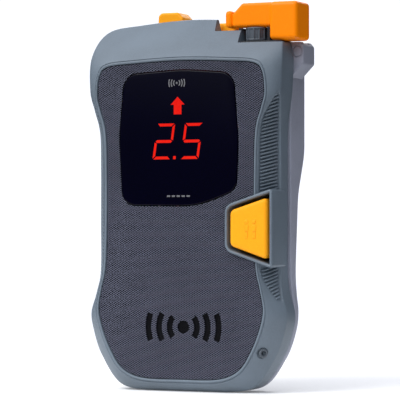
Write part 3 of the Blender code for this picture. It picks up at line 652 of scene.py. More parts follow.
BEAD = [
    (0.0, 0.6), (0.03, 0.26), (0.13, 0.08), (0.28, 0.0), (0.5, 0.0), (0.66, 0.06), (0.76, 0.2),
    (0.82, 0.45), (0.92, 0.55), (1.02, 0.48)]
FACE_START = (1.08, 0.4)
FACE_STEPS = 12
CROWN = 0.3
SHOULDER_BEND = 0.5
GRIP_BOTTOM = 27.0
GRIP_TOP = 91.0
GRIP_SINK = 0.7
GRIP_CURVE = 9.0
RIB_PITCH = 1.05
RIB_FOOT = 0.28
RIB_FOOT_DEPTH = 0.85
RIB_CREST = [(-0.24, 0.14), (-0.14, 0.0), (0.14, 0.0), (0.24, 0.14)]
RIB_RISE = 2.2
RIB_START = 0.13
RIB_END = 0.86
SURROUND_SPAN = (38.6, 60.6)
SURROUND_WALL = 0.95
SOLID_ABOVE = 104.0


def rib_start(z):
    """The share of the slanted face where the ribs start, further out near the ends of the grip."""
    above = max(0.0, (z - GRIP_TOP + GRIP_CURVE) / GRIP_CURVE)
    below = max(0.0, (GRIP_BOTTOM + GRIP_CURVE - z) / GRIP_CURVE)
    share = min(max(above, below), 1.0)
    return RIB_START + (RIB_END - 0.1 - RIB_START) * share * share


def grip_share(z):
    """1 where the slanted face carries grip ribs, 0 elsewhere."""
    return ease(z, GRIP_BOTTOM, GRIP_BOTTOM + 1.2) * (1 - ease(z, GRIP_TOP - 1.2, GRIP_TOP))


def face_normal(width, shoulder):
    """Outward normal of the slanted face, as (distance outwards, depth)."""
    return Vector((shoulder, -(width - RIM_WIDTH))).normalized()


def face_point(width, shoulder, t, sunk=0.0):
    """A point of the slanted face at a share of its width, as (distance outwards, depth)."""
    start = Vector(FACE_START)
    along = start.lerp(Vector((width, shoulder)), t)
    height = CROWN * math.sin(math.pi * t) - sunk
    return along + face_normal(width, shoulder) * height


def front_section(width, shoulder, height):
    """Profile of the front frame at one place: (distance outwards from the panel's edge, depth)."""
    points = [(-1.2, 3.2), (-1.2, 1.6), (0.0, 1.6)] + BEAD
    slope = width - RIM_WIDTH
    bend = min(SHOULDER_BEND, slope * 0.35)
    last = 1 - bend / math.hypot(slope, shoulder)
    first = rib_start(height)
    for step in range(FACE_STEPS + 1):
        t = last * step / FACE_STEPS
        sunk = GRIP_SINK * grip_share(height) * ease(t, first - 0.07, first)
        sunk *= 1 - ease(t, RIB_END, RIB_END + 0.05)
        points.append(tuple(face_point(width, shoulder, t, sunk)))
    start = Vector(points[-1])
    corner = Vector((width, shoulder))
    end = Vector((width, shoulder + bend))
    for step in range(1, 6):
        t = step / 5
        points.append(tuple(start * (1 - t) ** 2 + corner * 2 * t * (1 - t) + end * t ** 2))
    side_end = PARTING_DEPTH - 0.3
    points += [
        (width, (points[-1][1] + side_end) / 2), (width, side_end),
        (width - 0.08, PARTING_DEPTH - 0.08), (width - 0.3, PARTING_DEPTH)]
    inner = width - FRONT_WALL
    hollow = 0.0 if height > SOLID_ABOVE else 1.0
    deep = max(min(shoulder + 2.2, PARTING_DEPTH - 0.8), 4.0)
    points.append((inner, PARTING_DEPTH))
    points.append((inner, PARTING_DEPTH - 0.05 + (deep - PARTING_DEPTH) * hollow))
    points.append((0.6, PARTING_DEPTH - 0.1 + (3.2 - PARTING_DEPTH) * hollow))
    return points


def front_frame():
    rings = []
    for station in WHOLE:
        edge = Vector((station[PANEL], station[PANEL + 1]))
        outer = Vector((station[FRONT], max(station[FRONT + 1], 0.0)))
        outwards = (outer - edge).normalized()
        section = front_section((outer - edge).length, station[SHOULDER], outer.y)
        ring = []
        for distance, depth in section:
            x, z = edge + outwards * distance
            ring.append((x, depth, max(z, 0.0)))
        rings.append(ring)
    return loft("case_front", rings)


def notch_cutter():
    """The stepped notch in the front shell's top, under the lever."""
    return flat_piece("notch_cutter", [[
        (8.6, 110.0), (17.1, 110.0), (17.6, 106.0), (45.0, 106.0), (45.0, CLEAR_TOP),
        (3.6, CLEAR_TOP)]], -5.0, 20.0)


def button_surround():
    """The raised rim round the button, with a rounded front edge."""
    wall = SURROUND_WALL
    outer = [(0.0, 9.2), (0.0, 0.4), (0.0, -0.3), (0.06, -0.62), (0.2, -0.86), (0.42, -1.0)]
    inner = [(wall - 0.3, -1.0), (wall - 0.1, -0.9), (wall, -0.68), (wall, 9.2)]
    rings = [level(rounded(SURROUND_CORNERS, shrink), depth) for shrink, depth in outer + inner]
    return loft("button_surround", rings)


def case_front():
    shell = front_frame()
    combine(shell, "DIFFERENCE", [
        flat_piece("surround_cutter", [rounded(SURROUND_CORNERS, 0.45)], -3.0, 9.0),
        notch_cutter(),
        rod("port_recess", PORT_PLACE, 1.7, 2.2, PORT_AXIS),
        rod("port_hole", PORT_PLACE, 0.9, 12.0, PORT_AXIS)])
    place(shell, "housing", "case_plastic", CASE_PLASTIC, "front_shell")
    place(button_surround(), "housing", "case_plastic", CASE_PLASTIC)


def station_at(t, height):
    """The station values where the slanted face reaches a height at a share t of its width."""
    for low, high in zip(HALF, HALF[1:]):
        low_z = low[PANEL + 1] * (1 - t) + low[FRONT + 1] * t
        high_z = high[PANEL + 1] * (1 - t) + high[FRONT + 1] * t
        if low_z <= height < high_z:
            share = (height - low_z) / (high_z - low_z)
            return [below + (above - below) * share for below, above in zip(low, high)]
    return HALF[-1]


def grip_rib(name, height, side):
    """One rib across the slanted face, rising towards the shoulder."""
    rings = []
    steps = 7
    first = rib_start(height)
    for step in range(steps + 1):
        t = first + (RIB_END - first) * (step / steps)
        z = height + (t - 0.5) * RIB_RISE
        station = station_at(t, z)
        edge = Vector(station[PANEL:PANEL + 2])
        outer = Vector(station[FRONT:FRONT + 2])
        width = (outer - edge).length
        outwards = (outer - edge).normalized()
        fade = 0.3 if step in (0, steps) else 0.0
        crest = [(offset, sunk + fade) for offset, sunk in RIB_CREST]
        section = [(-RIB_FOOT, RIB_FOOT_DEPTH)] + crest + [(RIB_FOOT, RIB_FOOT_DEPTH)]
        ring = []
        for offset, sunk in section:
            distance, depth = face_point(width, station[SHOULDER], t, sunk)
            x, z_here = edge + outwards * distance
            ring.append((side * x, depth, z_here + offset))
        rings.append(ring)
    return loft(name, rings, closed=False, capped=True, smooth_angle=60)


def grip_ribs():
    """Ribs down both slanted faces, leaving room for the button's surround on the right."""
    count = int((GRIP_TOP - GRIP_BOTTOM - 3.0) / RIB_PITCH)
    heights = [GRIP_BOTTOM + 1.6 + index * RIB_PITCH for index in range(count + 1)]
    low, high = SURROUND_SPAN
    clear = [height for height in heights if not low < height < high]
    for name, side, chosen in (("grip_ribs_right", 1, clear), ("grip_ribs_left", -1, heights)):
        ribs = [grip_rib(f"rib_{index}", height, side) for index, height in enumerate(chosen)]
        place(joined(name, ribs, 60), "housing", "case_plastic", CASE_PLASTIC)


# ---- Panel with its diamond lattice, window and display ----

CELL_WIDTH = 1.09
CELL_HEIGHT = 0.667
LATTICE_LINES = 220
LATTICE_MIDDLE = 50.0
SHORTEST_RIDGE = 0.25
RIDGE_TOP = 0.3
RIDGE_FOOT = 0.85
RIDGE_HALVES = (0.07, 0.045)
MARK_CENTRE = (1.2, 19.75)
MARK_ARCS = [(4.6, 40.0), (8.2, 29.0), (11.8, 20.0)]
MARK_STROKE = 1.8
MARK_DOT = 1.9


def signal_symbol(centre, dot, arcs, stroke, grow=0.0):
    """A generic signal symbol: a dot between arcs on both sides."""
    shapes = [circle(centre, dot + grow)]
    for radius, half_angle in arcs:
        for facing in (0.0, 180.0):
            wider = math.degrees(grow / radius)
            shapes.append(arc_band(centre, radius, half_angle + wider, stroke + 2 * grow, facing))
    return shapes


def crossings(outline, origin, along):
    """Places along a line where it crosses a closed outline."""
    found = []
    for (x1, z1), (x2, z2) in zip(outline, outline[1:] + outline[:1]):
        side1 = (x1 - origin[0]) * along[1] - (z1 - origin[1]) * along[0]
        side2 = (x2 - origin[0]) * along[1] - (z2 - origin[1]) * along[0]
        if (side1 > 0) != (side2 > 0):
            share = side1 / (side1 - side2)
            x, z = x1 + (x2 - x1) * share, z1 + (z2 - z1) * share
            found.append((x - origin[0]) * along[0] + (z - origin[1]) * along[1])
    return sorted(found)


def inside(spans, place_along):
    return any(low < place_along < high for low, high in zip(spans[::2], spans[1::2]))


def lattice_stretches(field, holes):
    """The stretches of both families of diagonal lines that lie on the panel, as (ends, half width)."""
    along = Vector((CELL_WIDTH, CELL_HEIGHT)).normalized()
    stretches = []
    for way, half in zip((1, -1), RIDGE_HALVES):
        direction = (along.x, along.y * way)
        for index in range(-LATTICE_LINES, LATTICE_LINES + 1):
            origin = (index * CELL_WIDTH, LATTICE_MIDDLE)
            edge = crossings(field, origin, direction)
            blocked = [crossings(hole, origin, direction) for hole in holes]
            marks = sorted(edge + [mark for spans in blocked for mark in spans])
            for low, high in zip(marks, marks[1:]):
                middle = (low + high) / 2
                free = inside(edge, middle) and not any(inside(spans, middle) for spans in blocked)
                if free and high - low > SHORTEST_RIDGE:
                    ends = [(origin[0] + direction[0] * s, origin[1] + direction[1] * s) for s in (low, high)]
                    stretches.append((ends, half))
    return stretches


def lattice(stretches):
    """Every stretch as a thin raised ridge."""
    bm = bmesh.new()
    for ends, half in stretches:
        (x1, z1), (x2, z2) = ends
        along = Vector((x2 - x1, z2 - z1)).normalized()
        across = Vector((-along.y, along.x))
        section = [
            (-half, RIDGE_FOOT), (-half * 0.6, RIDGE_TOP), (half * 0.6, RIDGE_TOP), (half, RIDGE_FOOT)]
        corners = []
        for x, z in ends:
            for offset, depth in section:
                corners.append(bm.verts.new(at(x + across.x * offset, depth, z + across.y * offset)))
        for near in range(4):
            far = (near + 1) % 4
            bm.faces.new((corners[near], corners[far], corners[4 + far], corners[4 + near]))
        bm.faces.new(corners[:4])
        bm.faces.new(corners[4:])
    return from_bmesh("panel_lattice", bm, 20)


def front_panel():
    """The panel round the window, its raised lattice, and a dark floor under the mark cut in it; the plate is
    darkened for painted shade in the cells and the lattice lightened for painted highlight on the ridges.
    """
    field = inset(outline_of(PANEL), 0.25)
    window = rounded(WINDOW_CORNERS, -0.3)
    surround = rounded(SURROUND_CORNERS, -0.1)
    mark = (MARK_CENTRE, MARK_DOT, MARK_ARCS, MARK_STROKE)
    plate = flat_piece("panel_plate", [field] + signal_symbol(*mark), RIDGE_FOOT - 0.05, 1.3)
    combine(plate, "DIFFERENCE", [
        flat_piece("window_cutter", [window], -3.0, 5.0),
        flat_piece("surround_cutter", [surround], -3.0, 5.0)])
    place(plate, "housing", "panel_plastic", PANEL_PAINTED_SHADE, "front_panel")
    ridges = lattice(lattice_stretches(field, [window, surround] + signal_symbol(*mark, grow=0.12)))
    place(ridges, "housing", "panel_plastic", LATTICE_PAINTED_HIGHLIGHT)
    floor_corners = [(x, z, 1.0) for x, z in ((-12.5, 14.5), (15.0, 14.5), (15.0, 25.0), (-12.5, 25.0))]
    mark_floor = pillow("mark_floor", floor_corners, [(0.0, 1.25), (0.0, 1.1), (0.1, 1.0)])
    place(mark_floor, "housing", "dark_plastic", MARK_PLASTIC)


def window():
    profile = [(0.0, 1.25)] + round_edge(0.3, WINDOW_FRONT)
    cover = pillow("window_cover", WINDOW_CORNERS, profile, steps=16, smooth_angle=50)
    place(cover, "housing", "window_plastic", WINDOW_PLASTIC, "display_window")


DIGIT_TOP = 81.7
DIGIT_WIDTH = 6.1
DIGIT_CENTRES = (-5.25, 4.15)
SLANT = math.tan(math.radians(8.5))
BAR = 0.86
POST = 0.76
SEGMENT_GAP = 0.28
SEGMENT_FRONT = 0.22
POINT = [(-2.15, DIGIT_BOTTOM), (-1.3, DIGIT_BOTTOM), (-1.2, 71.75), (-2.05, 71.75)]
ARROW = [
    (-0.6, 89.8), (-2.95, 87.4), (-1.9, 87.4), (-1.9, 84.45), (0.7, 84.45), (0.7, 87.4), (1.75, 87.4)]


def digit_segments(centre, names):
    """Outlines of the lit segments of one seven-segment digit, before slanting."""
    left, right = centre - DIGIT_WIDTH / 2, centre + DIGIT_WIDTH / 2
    middle = (DIGIT_BOTTOM + DIGIT_TOP) / 2
    gap = SEGMENT_GAP
    half = BAR / 2
    shapes = {"middle": [
        (left + gap, middle), (left + gap + half, middle + half), (right - gap - half, middle + half),
        (right - gap, middle), (right - gap - half, middle - half), (left + gap + half, middle - half)]}
    for name, edge, way in (("top", DIGIT_TOP, -1), ("bottom", DIGIT_BOTTOM, 1)):
        shapes[name] = [
            (left + gap, edge), (right - gap, edge), (right - gap - BAR, edge + way * BAR),
            (left + gap + BAR, edge + way * BAR)]
    for side, x, inward in (("left", left, POST), ("right", right, -POST)):
        for part, edge, way in (("upper", DIGIT_TOP, -1), ("lower", DIGIT_BOTTOM, 1)):
            shapes[f"{part}_{side}"] = [
                (x, edge + way * gap), (x + inward, edge + way * (gap + POST)),
                (x + inward, middle - way * (gap + POST / 2)), (x, middle - way * gap)]
    return [shapes[name] for name in names]


def slanted(outline):
    middle = (DIGIT_BOTTOM + DIGIT_TOP) / 2
    return [(x + (z - middle) * SLANT, z) for x, z in outline]


def thin_shapes(name, outlines):
    """Flat shapes standing just proud of the window."""
    pieces = [
        flat_piece(f"shape_{index}", [outline], SEGMENT_FRONT, 0.4)
        for index, outline in enumerate(outlines)]
    return joined(name, pieces)


def display():
    """The lit digits, point and arrow, and the small grey symbols above and below them."""
    lit = digit_segments(DIGIT_CENTRES[0], ["top", "upper_right", "middle", "lower_left", "bottom"])
    lit += digit_segments(DIGIT_CENTRES[1], ["top", "upper_left", "middle", "lower_right", "bottom"])
    shapes = [slanted(outline) for outline in lit] + [POINT, ARROW]
    place(thin_shapes("display_segments", shapes), "housing", "display_red", DISPLAY_RED)
    symbol = signal_symbol((-0.9, 94.0), 0.32, [(1.05, 48.0), (1.85, 36.0), (2.65, 26.0)], 0.36)
    dashes = []
    for index in range(5):
        left = -4.2 + 1.65 * index
        dashes.append([(left, 59.3), (left + 1.1, 59.3), (left + 1.1, 59.8), (left, 59.8)])
    place(thin_shapes("window_symbols", symbol + dashes), "housing", "dark_plastic", LABEL_PAINT)


# ---- Back shell, battery door and cells ----

def back_solid(name, wall):
    """A solid with the back shell's form, smaller all round by a wall."""
    outline = inset(outline_of(BACK), wall) if wall else outline_of(BACK)
    start = BACK_START - (1.0 if wall else 0.0)
    layers = [(0.0, None)] if wall else [(0.3, None), (0.0, None)]
    bend = 1.5 if wall else 3.0
    for step in range(7):
        angle = math.pi / 2 * step / 6
        layers.append((bend * (1 - math.cos(angle)), bend * (1 - math.sin(angle))))
    rings = []
    for number, (inwards, before_back) in enumerate(layers):
        ring = []
        for (x, z), (_, height) in zip(inset(outline, inwards), outline):
            depth = start if number == 0 else start + 0.3
            if before_back is not None:
                depth = back_depth(height) - wall * 0.8 - before_back
            ring.append((x, depth, z if wall else max(z, 0.0)))
        rings.append(ring)
    bm = bmesh.new()
    made = skin(bm, [[at(*point) for point in ring] for ring in rings], closed=False)
    bm.faces.new(made[0])
    close_back(bm, made[-1])
    return from_bmesh(name, bm)


def close_back(bm, ring):
    """Close a ring with strips from its right half to its left half, and one face by the flat foot."""
    count = len(ring)
    half = count // 2
    foot = SAMPLES + 1
    bm.faces.new(ring[count - foot:] + ring[:foot + 1])
    for index in range(foot, half - 1):
        bm.faces.new((ring[index], ring[index + 1], ring[count - index - 1], ring[count - index]))
    bm.faces.new((ring[half - 1], ring[half], ring[half + 1]))


def leash_lug():
    corners = [
        (27.5, 92.5, 0.8), (31.4, 95.4, 0.8), (35.6, 99.7, 1.2), (35.6, 105.1, 0.9), (34.5, 106.4, 0.5),
        (27.5, 106.4, 0.8)]
    profile = [(0.35, BACK_START), (0.08, BACK_START + 0.1), (0.0, BACK_START + 0.4), (0.0, 21.2)]
    profile += [(0.1, 21.7), (0.45, 22.0)]
    return pillow("leash_lug", corners, profile)


def case_back():
    """The hollow back shell with its screw bosses, leash lug, door opening and lock channel."""
    shell = back_solid("case_back", 0.0)
    cavity = back_solid("back_cavity", BACK_WALL)
    limit = soft_box("cavity_limit", (-50, 50), (0, 40), (1.0, 69.8))
    combine(cavity, "INTERSECT", [limit])
    combine(shell, "DIFFERENCE", [cavity])
    bosses = []
    for index, (x, z, head) in enumerate(CASE_SCREWS[:4]):
        length = head + 1.0 - BACK_START
        bosses.append(rod(f"boss_{index}", (x, BACK_START + length / 2, z), 3.0, length, (0, 1, 0)))
    combine(shell, "UNION", [leash_lug()] + bosses)
    cutters = []
    for index, (x, z, head) in enumerate(CASE_SCREWS):
        cutters.append(rod(f"screw_hole_{index}", (x, 18.0, z), 1.3, 16.0, (0, 1, 0)))
        cutters.append(rod(f"screw_seat_{index}", (x, head + 5.0, z), 2.2, 10.0, (0, 1, 0)))
    door_recess = [
        (-27.5, 72.9), (27.5, 72.9), (27.5, 105.3), (5.3, 105.3), (5.3, 112.2), (-5.3, 112.2),
        (-5.3, 105.3), (-27.5, 105.3)]
    cutters += [
        soft_box("deck_cutter", (8.6, 50), (5, 40), (106.3, CLEAR_TOP)),
        soft_box("battery_pocket", (-26.0, 25.4), (13.85, 24.0), (71.45, 104.35)),
        soft_box("battery_opening", (-26.0, 25.4), (23.5, 30.0), (75.5, 104.0)),
        flat_piece("door_recess", [door_recess], 24.25, 30.0),
        soft_box("tab_recess", (-5.3, 5.3), (22.9, 30.0), (105.0, 112.2)),
        rod("insert_hole", (0.0, 21.0, DOOR_SCREW_HEIGHT), 2.6, 4.4, (0, 1, 0)),
        soft_box("slider_channel", (-17.2, 9.6), (11.0, 17.1), (108.2, CLEAR_TOP)),
        soft_box("slider_pocket", (-17.2, -5.9), (11.0, 22.4), (108.2, CLEAR_TOP)),
        rod("spring_bore", (-20.4, 18.0, 110.1), 1.6, 8.2, (1, 0, 0)),
        soft_box("leash_slot", (28.0, 35.05), (15.0, 19.6), (99.3, 110.0)),
        rod("leash_pin_hole", (LEASH_X, 23.0, LEASH_Z), 1.5, 17.0, (0, 1, 0)),
        loft("pin_ring", [
            level(circle((LEASH_X, LEASH_Z), radius, 48), depth)
            for radius, depth in ((1.45, 12.0), (1.45, 13.05), (1.75, 13.05), (1.75, 12.0))])]
    combine(shell, "DIFFERENCE", cutters)
    place(shell, "housing", "back_plastic", BACK_PLASTIC, "back_shell")


def gasket():
    """The dark seal that closes the parting line between the two shells."""
    edge = outline_of(BACK)
    rings = [
        level(inset(edge, distance), depth)
        for distance, depth in ((1.4, 12.4), (1.4, 12.9), (2.1, 12.9), (2.1, 12.4))]
    seal = loft("gasket_seal", rings)
    combine(seal, "DIFFERENCE", [
        soft_box("gasket_gap", (-17.4, 50), (10, 20), (105.9, CLEAR_TOP))])
    place(seal, "housing", "rubber", RUBBER)


def battery_door():
    """The door with its tab and hinge pins, and the grooves cut in its face."""
    left, right, bottom, top, tab_top = -27.2, 27.2, 73.4, 105.0, 111.8
    corners = [(left, bottom, 0.5), (right, bottom, 0.5), (right, top, 0.6), (left, top, 0.6)]
    tab = [(-5.0, top - 3.0, 0.3), (5.0, top - 3.0, 0.3), (5.0, tab_top, 1.6), (-5.0, tab_top, 1.6)]
    edge = [(0.0, 24.75)] + mirrored_edge(0.45)
    door = pillow("battery_door_cover", corners, edge)
    tab_piece = pillow("door_tab", tab, edge)
    latch = soft_box("door_latch", (-4.9, 4.9), (23.2, 25.4), (105.4, 111.6), 0.25)
    pins = [
        rod(f"pin_{side}", (side * 27.6, 25.35, 73.9), 0.5, 1.8, (1, 0, 0), 20) for side in (-1, 1)]
    combine(door, "UNION", [tab_piece, latch] + pins)
    cutters = [
        rod("screw_hole", (0.0, 24.0, DOOR_SCREW_HEIGHT), 1.65, 8.0, (0, 1, 0)),
        rod("screw_seat", (0.0, 26.1, DOOR_SCREW_HEIGHT), 3.0, 3.0, (0, 1, 0))]
    for row in range(5):
        half = 13.0 - 1.6 * row
        z = 98.5 - 1.9 * row
        cutters.append(soft_box(f"finger_groove_{row}", (-half, half), (25.55, 27.5), (z, z + 0.95), 0.3))
    for side in (-1, 1):
        low, high = sorted((side * 22.0, side * 22.7))
        cutters.append(soft_box(f"side_groove_{side}", (low, high), (25.65, 27.5), (77.0, 101.5), 0.3))
    combine(door, "DIFFERENCE", cutters)
    place(door, "door", "back_plastic", BACK_PLASTIC, "battery_door")


def mirrored_edge(radius):
    """Profile of an edge that rounds towards the back face, at BACK_DEPTH."""
    return [(inwards, 2 * BACK_DEPTH - depth) for inwards, depth in round_edge(radius, BACK_DEPTH)]


def coin_screw():
    """The screw that holds the door, with a domed head and a coin slot."""
    profile = [
        (-4.3, 0.9), (-4.0, 1.2), (-0.2, 1.2), (-0.2, 2.3), (0.0, 2.55), (0.35, 2.6), (0.55, 2.52),
        (0.66, 2.3), (0.7, 1.2)]
    screw = turned("coin_screw", (0.0, 25.05, DOOR_SCREW_HEIGHT), (0, 1, 0), profile)
    combine(screw, "DIFFERENCE", [
        soft_box("coin_slot", (-2.1, 2.1), (25.3, 27.0), (107.2, 108.0))])
    place(screw, "door_fastener", "steel", STEEL, "door_screw")


CELL_HEIGHTS = (77.0, 87.9, 98.8)
CELL_X = 0.75
CELL_DEPTH = 19.1


def cells():
    """Three battery cells; the middle one lies the other way round."""
    minus, plus = -22.1, 21.2
    profile = [
        (minus, 3.6), (minus, 4.3), (minus + 0.25, 4.55), (minus + 0.3, 4.8), (minus + 0.5, 5.05),
        (minus + 1.0, 5.1), (plus - 1.2, 5.1), (plus - 0.5, 5.02), (plus - 0.15, 4.8), (plus - 0.1, 4.5),
        (plus, 4.3), (plus, 2.1), (plus + 0.1, 1.9), (plus + 0.8, 1.85), (plus + 0.9, 1.7)]
    for index, z in enumerate(CELL_HEIGHTS, 1):
        way = -1.0 if index == 2 else 1.0
        cell = turned(f"battery_cell_{index}", (CELL_X, CELL_DEPTH, z), (way, 0, 0), profile)
        finish = cell_wrap(f"cell_sleeve_{index}", CELL_X + way * (plus - 0.3), way)
        place(cell, "housing", "cell_sleeve", finish, f"battery_{index}")


# ---- Lever, lock and button ----

HUB_MIDDLE = 108.7
HUB_RIBS = 12
LEVER_TOP = 118.3
ARM_BOTTOM = 111.1
ARM_LEFT = 14.1
BLOCK_LEFT = 27.0
BLOCK_RIGHT = 36.2
SLIDER_LEFT = -14.1
SLIDER_STEM = -6.3
SLIDER_FLOOR = 108.5
FIGURE_FRONT = -1.8
FIGURE_FOOT = -1.5
FIGURE_PARTS = [
    ("body", (0.55, 48.6, 0.2), (0.78, 50.7, 0.35)),
    ("legs", (0.48, 46.7, 0.15), (0.48, 48.9, 0.15))]


def mode_lever():
    """Arm, block and thumb tab melted into one moulding with soft fillets."""
    arm = pillow("lever_arm", [
        (ARM_LEFT, ARM_BOTTOM, 0.7), (30.0, ARM_BOTTOM, 0.7), (30.0, LEVER_TOP, 0.8),
        (ARM_LEFT + 3.2, LEVER_TOP, 1.2), (ARM_LEFT, 115.1, 1.4)],
        [(0.7, 14.5), (0.2, 14.3), (0.0, 13.8)] + round_edge(0.8, 8.0))
    block = soft_box("lever_block", (BLOCK_LEFT, BLOCK_RIGHT), (6.3, 17.0), (106.7, LEVER_TOP), 1.25, 5)
    root = soft_box("lever_root", (26.6, 30.0), (7.4, 15.4), (110.8, 117.9), 1.0, 4)
    tab = soft_box("thumb_tab", (11.5, 13.9), (8.2, 13.5), (110.9, 116.2), 1.1, 4)
    neck = soft_box("thumb_neck", (13.0, 15.6), (9.2, 13.2), (111.3, 114.3), 0.5)
    lever = melt(joined("lever_moulding", [arm, block, root, tab, neck]), 0.16, 6)
    place(lever, "lever", "orange_plastic", ORANGE_PLASTIC, "mode_lever")


def lever_hub():
    """The dark collar under the arm, with a chamfered top and bottom and upright ribs."""
    half = [(1.5, 3.2), (1.6, 3.42), (1.9, 3.42), (2.1, 3.2)]
    profile = [(-2.1, 3.2), (-1.9, 3.42), (-1.5, 3.42), (-1.4, 3.2)] + half
    hub = turned("hub_collar", (LEVER_X, LEVER_DEPTH, HUB_MIDDLE), (0, 0, 1), profile, 64)
    ribs = []
    for index in range(HUB_RIBS):
        angle = math.tau * (index + 0.25) / HUB_RIBS
        x = LEVER_X + 3.15 * math.cos(angle)
        depth = LEVER_DEPTH + 3.15 * math.sin(angle)
        ribs.append(rod(f"hub_rib_{index}", (x, depth, HUB_MIDDLE), 0.3, 3.2, (0, 0, 1), 10))
    place(joined("hub_collar_ribbed", [hub] + ribs), "lever", "dark_plastic", HUB_PLASTIC, "lever_hub")


def lever_well():
    """The well that the collar turns in, and the pad under the lever's block, both near-black: painted shade
    under the lever.
    """
    arc = arc_band((LEVER_X, LEVER_DEPTH), 4.95, 112.0, 1.1, 90.0, 24)
    pad = [(16.6, 6.2), (29.5, 6.2), (31.0, 7.4), (31.0, 21.0), (16.6, 21.0)]
    pieces = []
    for name, plan, low, high in (("well_wall", arc, 106.0, 110.7), ("well_foot", pad, 105.9, 106.5)):
        rings = [[(x, depth, z) for x, depth in plan] for z in (low, high)]
        pieces.append(loft(name, rings, closed=False, capped=True))
    place(joined("lever_well", pieces), "housing", "dark_plastic", DARK_PLASTIC)


def lock_slider():
    """The lock's bar and tongue under the lever, and its thumb pad at the back."""
    bar = soft_box("lock_bar", (SLIDER_LEFT, 8.1), (13.1, 16.8), (SLIDER_FLOOR, 112.0), 0.5)
    tongue = soft_box("lock_tongue", (4.0, 14.2), (13.9, 16.6), (SLIDER_FLOOR, 113.0), 0.7)
    base = soft_box("lock_base", (SLIDER_LEFT, SLIDER_STEM), (13.3, 22.0), (SLIDER_FLOOR, 113.0), 0.5)
    pad = pillow("lock_pad", [
        (SLIDER_LEFT, 111.5, 0.3), (SLIDER_STEM, 111.5, 0.3), (SLIDER_STEM, 113.5, 0.2), (-5.3, 114.1, 0.3),
        (-5.6, 115.2, 0.8), (-7.2, 116.9, 1.0), (-12.9, 116.9, 0.9), (-13.9, 116.0, 0.8)],
        [(0.6, 22.0), (0.15, 21.8), (0.0, 21.4)] + round_edge(0.6, 14.0))
    slider = melt(joined("lock_slider_moulding", [bar, tongue, base, pad]), 0.17, 7)
    place(slider, "lock", "orange_plastic", BUTTON_PLASTIC, "lock_slider")


def option_button():
    """The button's cap with its stem, and two raised figures of people on the cap."""
    profile = [(0.0, 3.0), (0.0, 0.0)] + round_edge(1.05, -1.55, 7) + [(2.2, -1.62), (3.6, -1.66)]
    cap = pillow("button_cap", BUTTON_CORNERS, profile, 12, 60)
    stem = soft_box("button_stem", (22.0, 25.2), (2.0, 6.65), (48.1, 51.3), 0.2)
    button = joined("button_moulding", [cap, stem], 60)
    place(button, "button", "button_plastic", BUTTON_PLASTIC, "option_button")
    raised = [(0.0, FIGURE_FOOT), (0.0, FIGURE_FRONT + 0.06), (0.06, FIGURE_FRONT)]
    head = [(-FIGURE_FOOT, 0.62), (-FIGURE_FRONT - 0.06, 0.62), (-FIGURE_FRONT, 0.52)]
    figures = []
    for index, x in enumerate((23.1, 25.6)):
        figures.append(turned(f"head_{index}", (x, 0.0, 51.75), (0, -1, 0), head))
        for part, low, high in FIGURE_PARTS:
            corners = []
            for (half, z, radius), sides in ((low, (-1, 1)), (high, (1, -1))):
                corners += [(x + side * half, z, radius) for side in sides]
            figures.append(pillow(f"{part}_{index}", corners, raised, 5))
    place(joined("button_figures", figures), "button", "button_plastic", BUTTON_PLASTIC)


# ---- CAD nodes that stay, with their finishes ----

def finish_node(name, finish, edge):
    """A carried-over CAD node: welded, with rounded edges, and its finish."""
    item = NODES[name]
    item.data.materials.clear()
    item.data.materials.append(finish)
    item.data.shade_smooth()
    weld = item.modifiers.new("Weld", "WELD")
    weld.merge_threshold = 0.000001
    edges = item.modifiers.new("Rounded edges", "BEVEL")
    edges.width = edge * MM
    edges.segments = 2
    edges.limit_method = "ANGLE"
    edges.angle_limit = math.radians(40)
    edges.harden_normals = True


def carried_nodes():
    """Finishes for the CAD nodes that keep their own meshes."""
    springs = ["lock_spring"] + [f"battery_spring_{index}" for index in (1, 2, 3)]
    seals = ["case_seal", "door_seal", "shaft_seal"]
    groups = [
        (DARK_PLASTIC, ["display_mask", "lever_bearing", "lever_sensor", "switch_base", "switch_plunger",
                        "processor_chip", "speaker"]),
        (STEEL, ["lever_shaft", "lever_magnet", "shaft_clip", "leash_pin", "left_contact_plate",
                 "right_contact_plate"] + springs + [f"case_screw_{index}" for index in (1, 2, 3, 4, 5)]),
        (RUBBER, ["button_boot"] + seals),
        (FERRITE, ["antenna_x_core", "antenna_z_core"]),
        (DISPLAY_RED, ["led_display"]),
        (HUB_PLASTIC, ["port_ring"]),
        (BRASS, ["door_insert"]),
        (circuit_board("circuit_board"), ["main_board"]),
        (wound_wire("copper_wire_x", "X"), ["antenna_x_coil"]),
        (wound_wire("copper_wire_y", "Y", 0.3), ["antenna_y_coil"]),
        (wound_wire("copper_wire_z", "Z"), ["antenna_z_coil"])]
    for finish, names in groups:
        for name in names:
            finish_node(name, finish, 0.02 if name in springs + seals else 0.12)


# ---- Stage: camera, floor and light ----

VIEW_AZIMUTH = math.radians(25.0)
VIEW_DISTANCE = 725.0
VIEW_HEIGHT = 49.85
VIEW_SHIFT = 6.38
VIEW_TILT = math.radians(0.6727)
LENS = 214.65
SENSOR = 36.0
FLOOR_HALF = 0.17
PAPER = (0.86, 0.86, 0.865)
PALE_PAPER = (0.88, 0.88, 0.88)
PAPER_GLOW = 0.13
LIT_POINT = (0.0, 0.0, 0.06)
KEY_FROM = (-0.34, -0.7, 0.8)
KEY_COLOUR = (1.0, 0.985, 0.95)
BACK_FROM = (-0.3, 0.9, 0.7)
LIGHT_FROM = (-0.3, -0.56, 0.77)
SKY_COLOUR = (0.95, 0.98, 1.06, 1.0)
SKY_SEEN = 1.1
DOME_DARK = 0.1
DOME_BRIGHT = 1.4


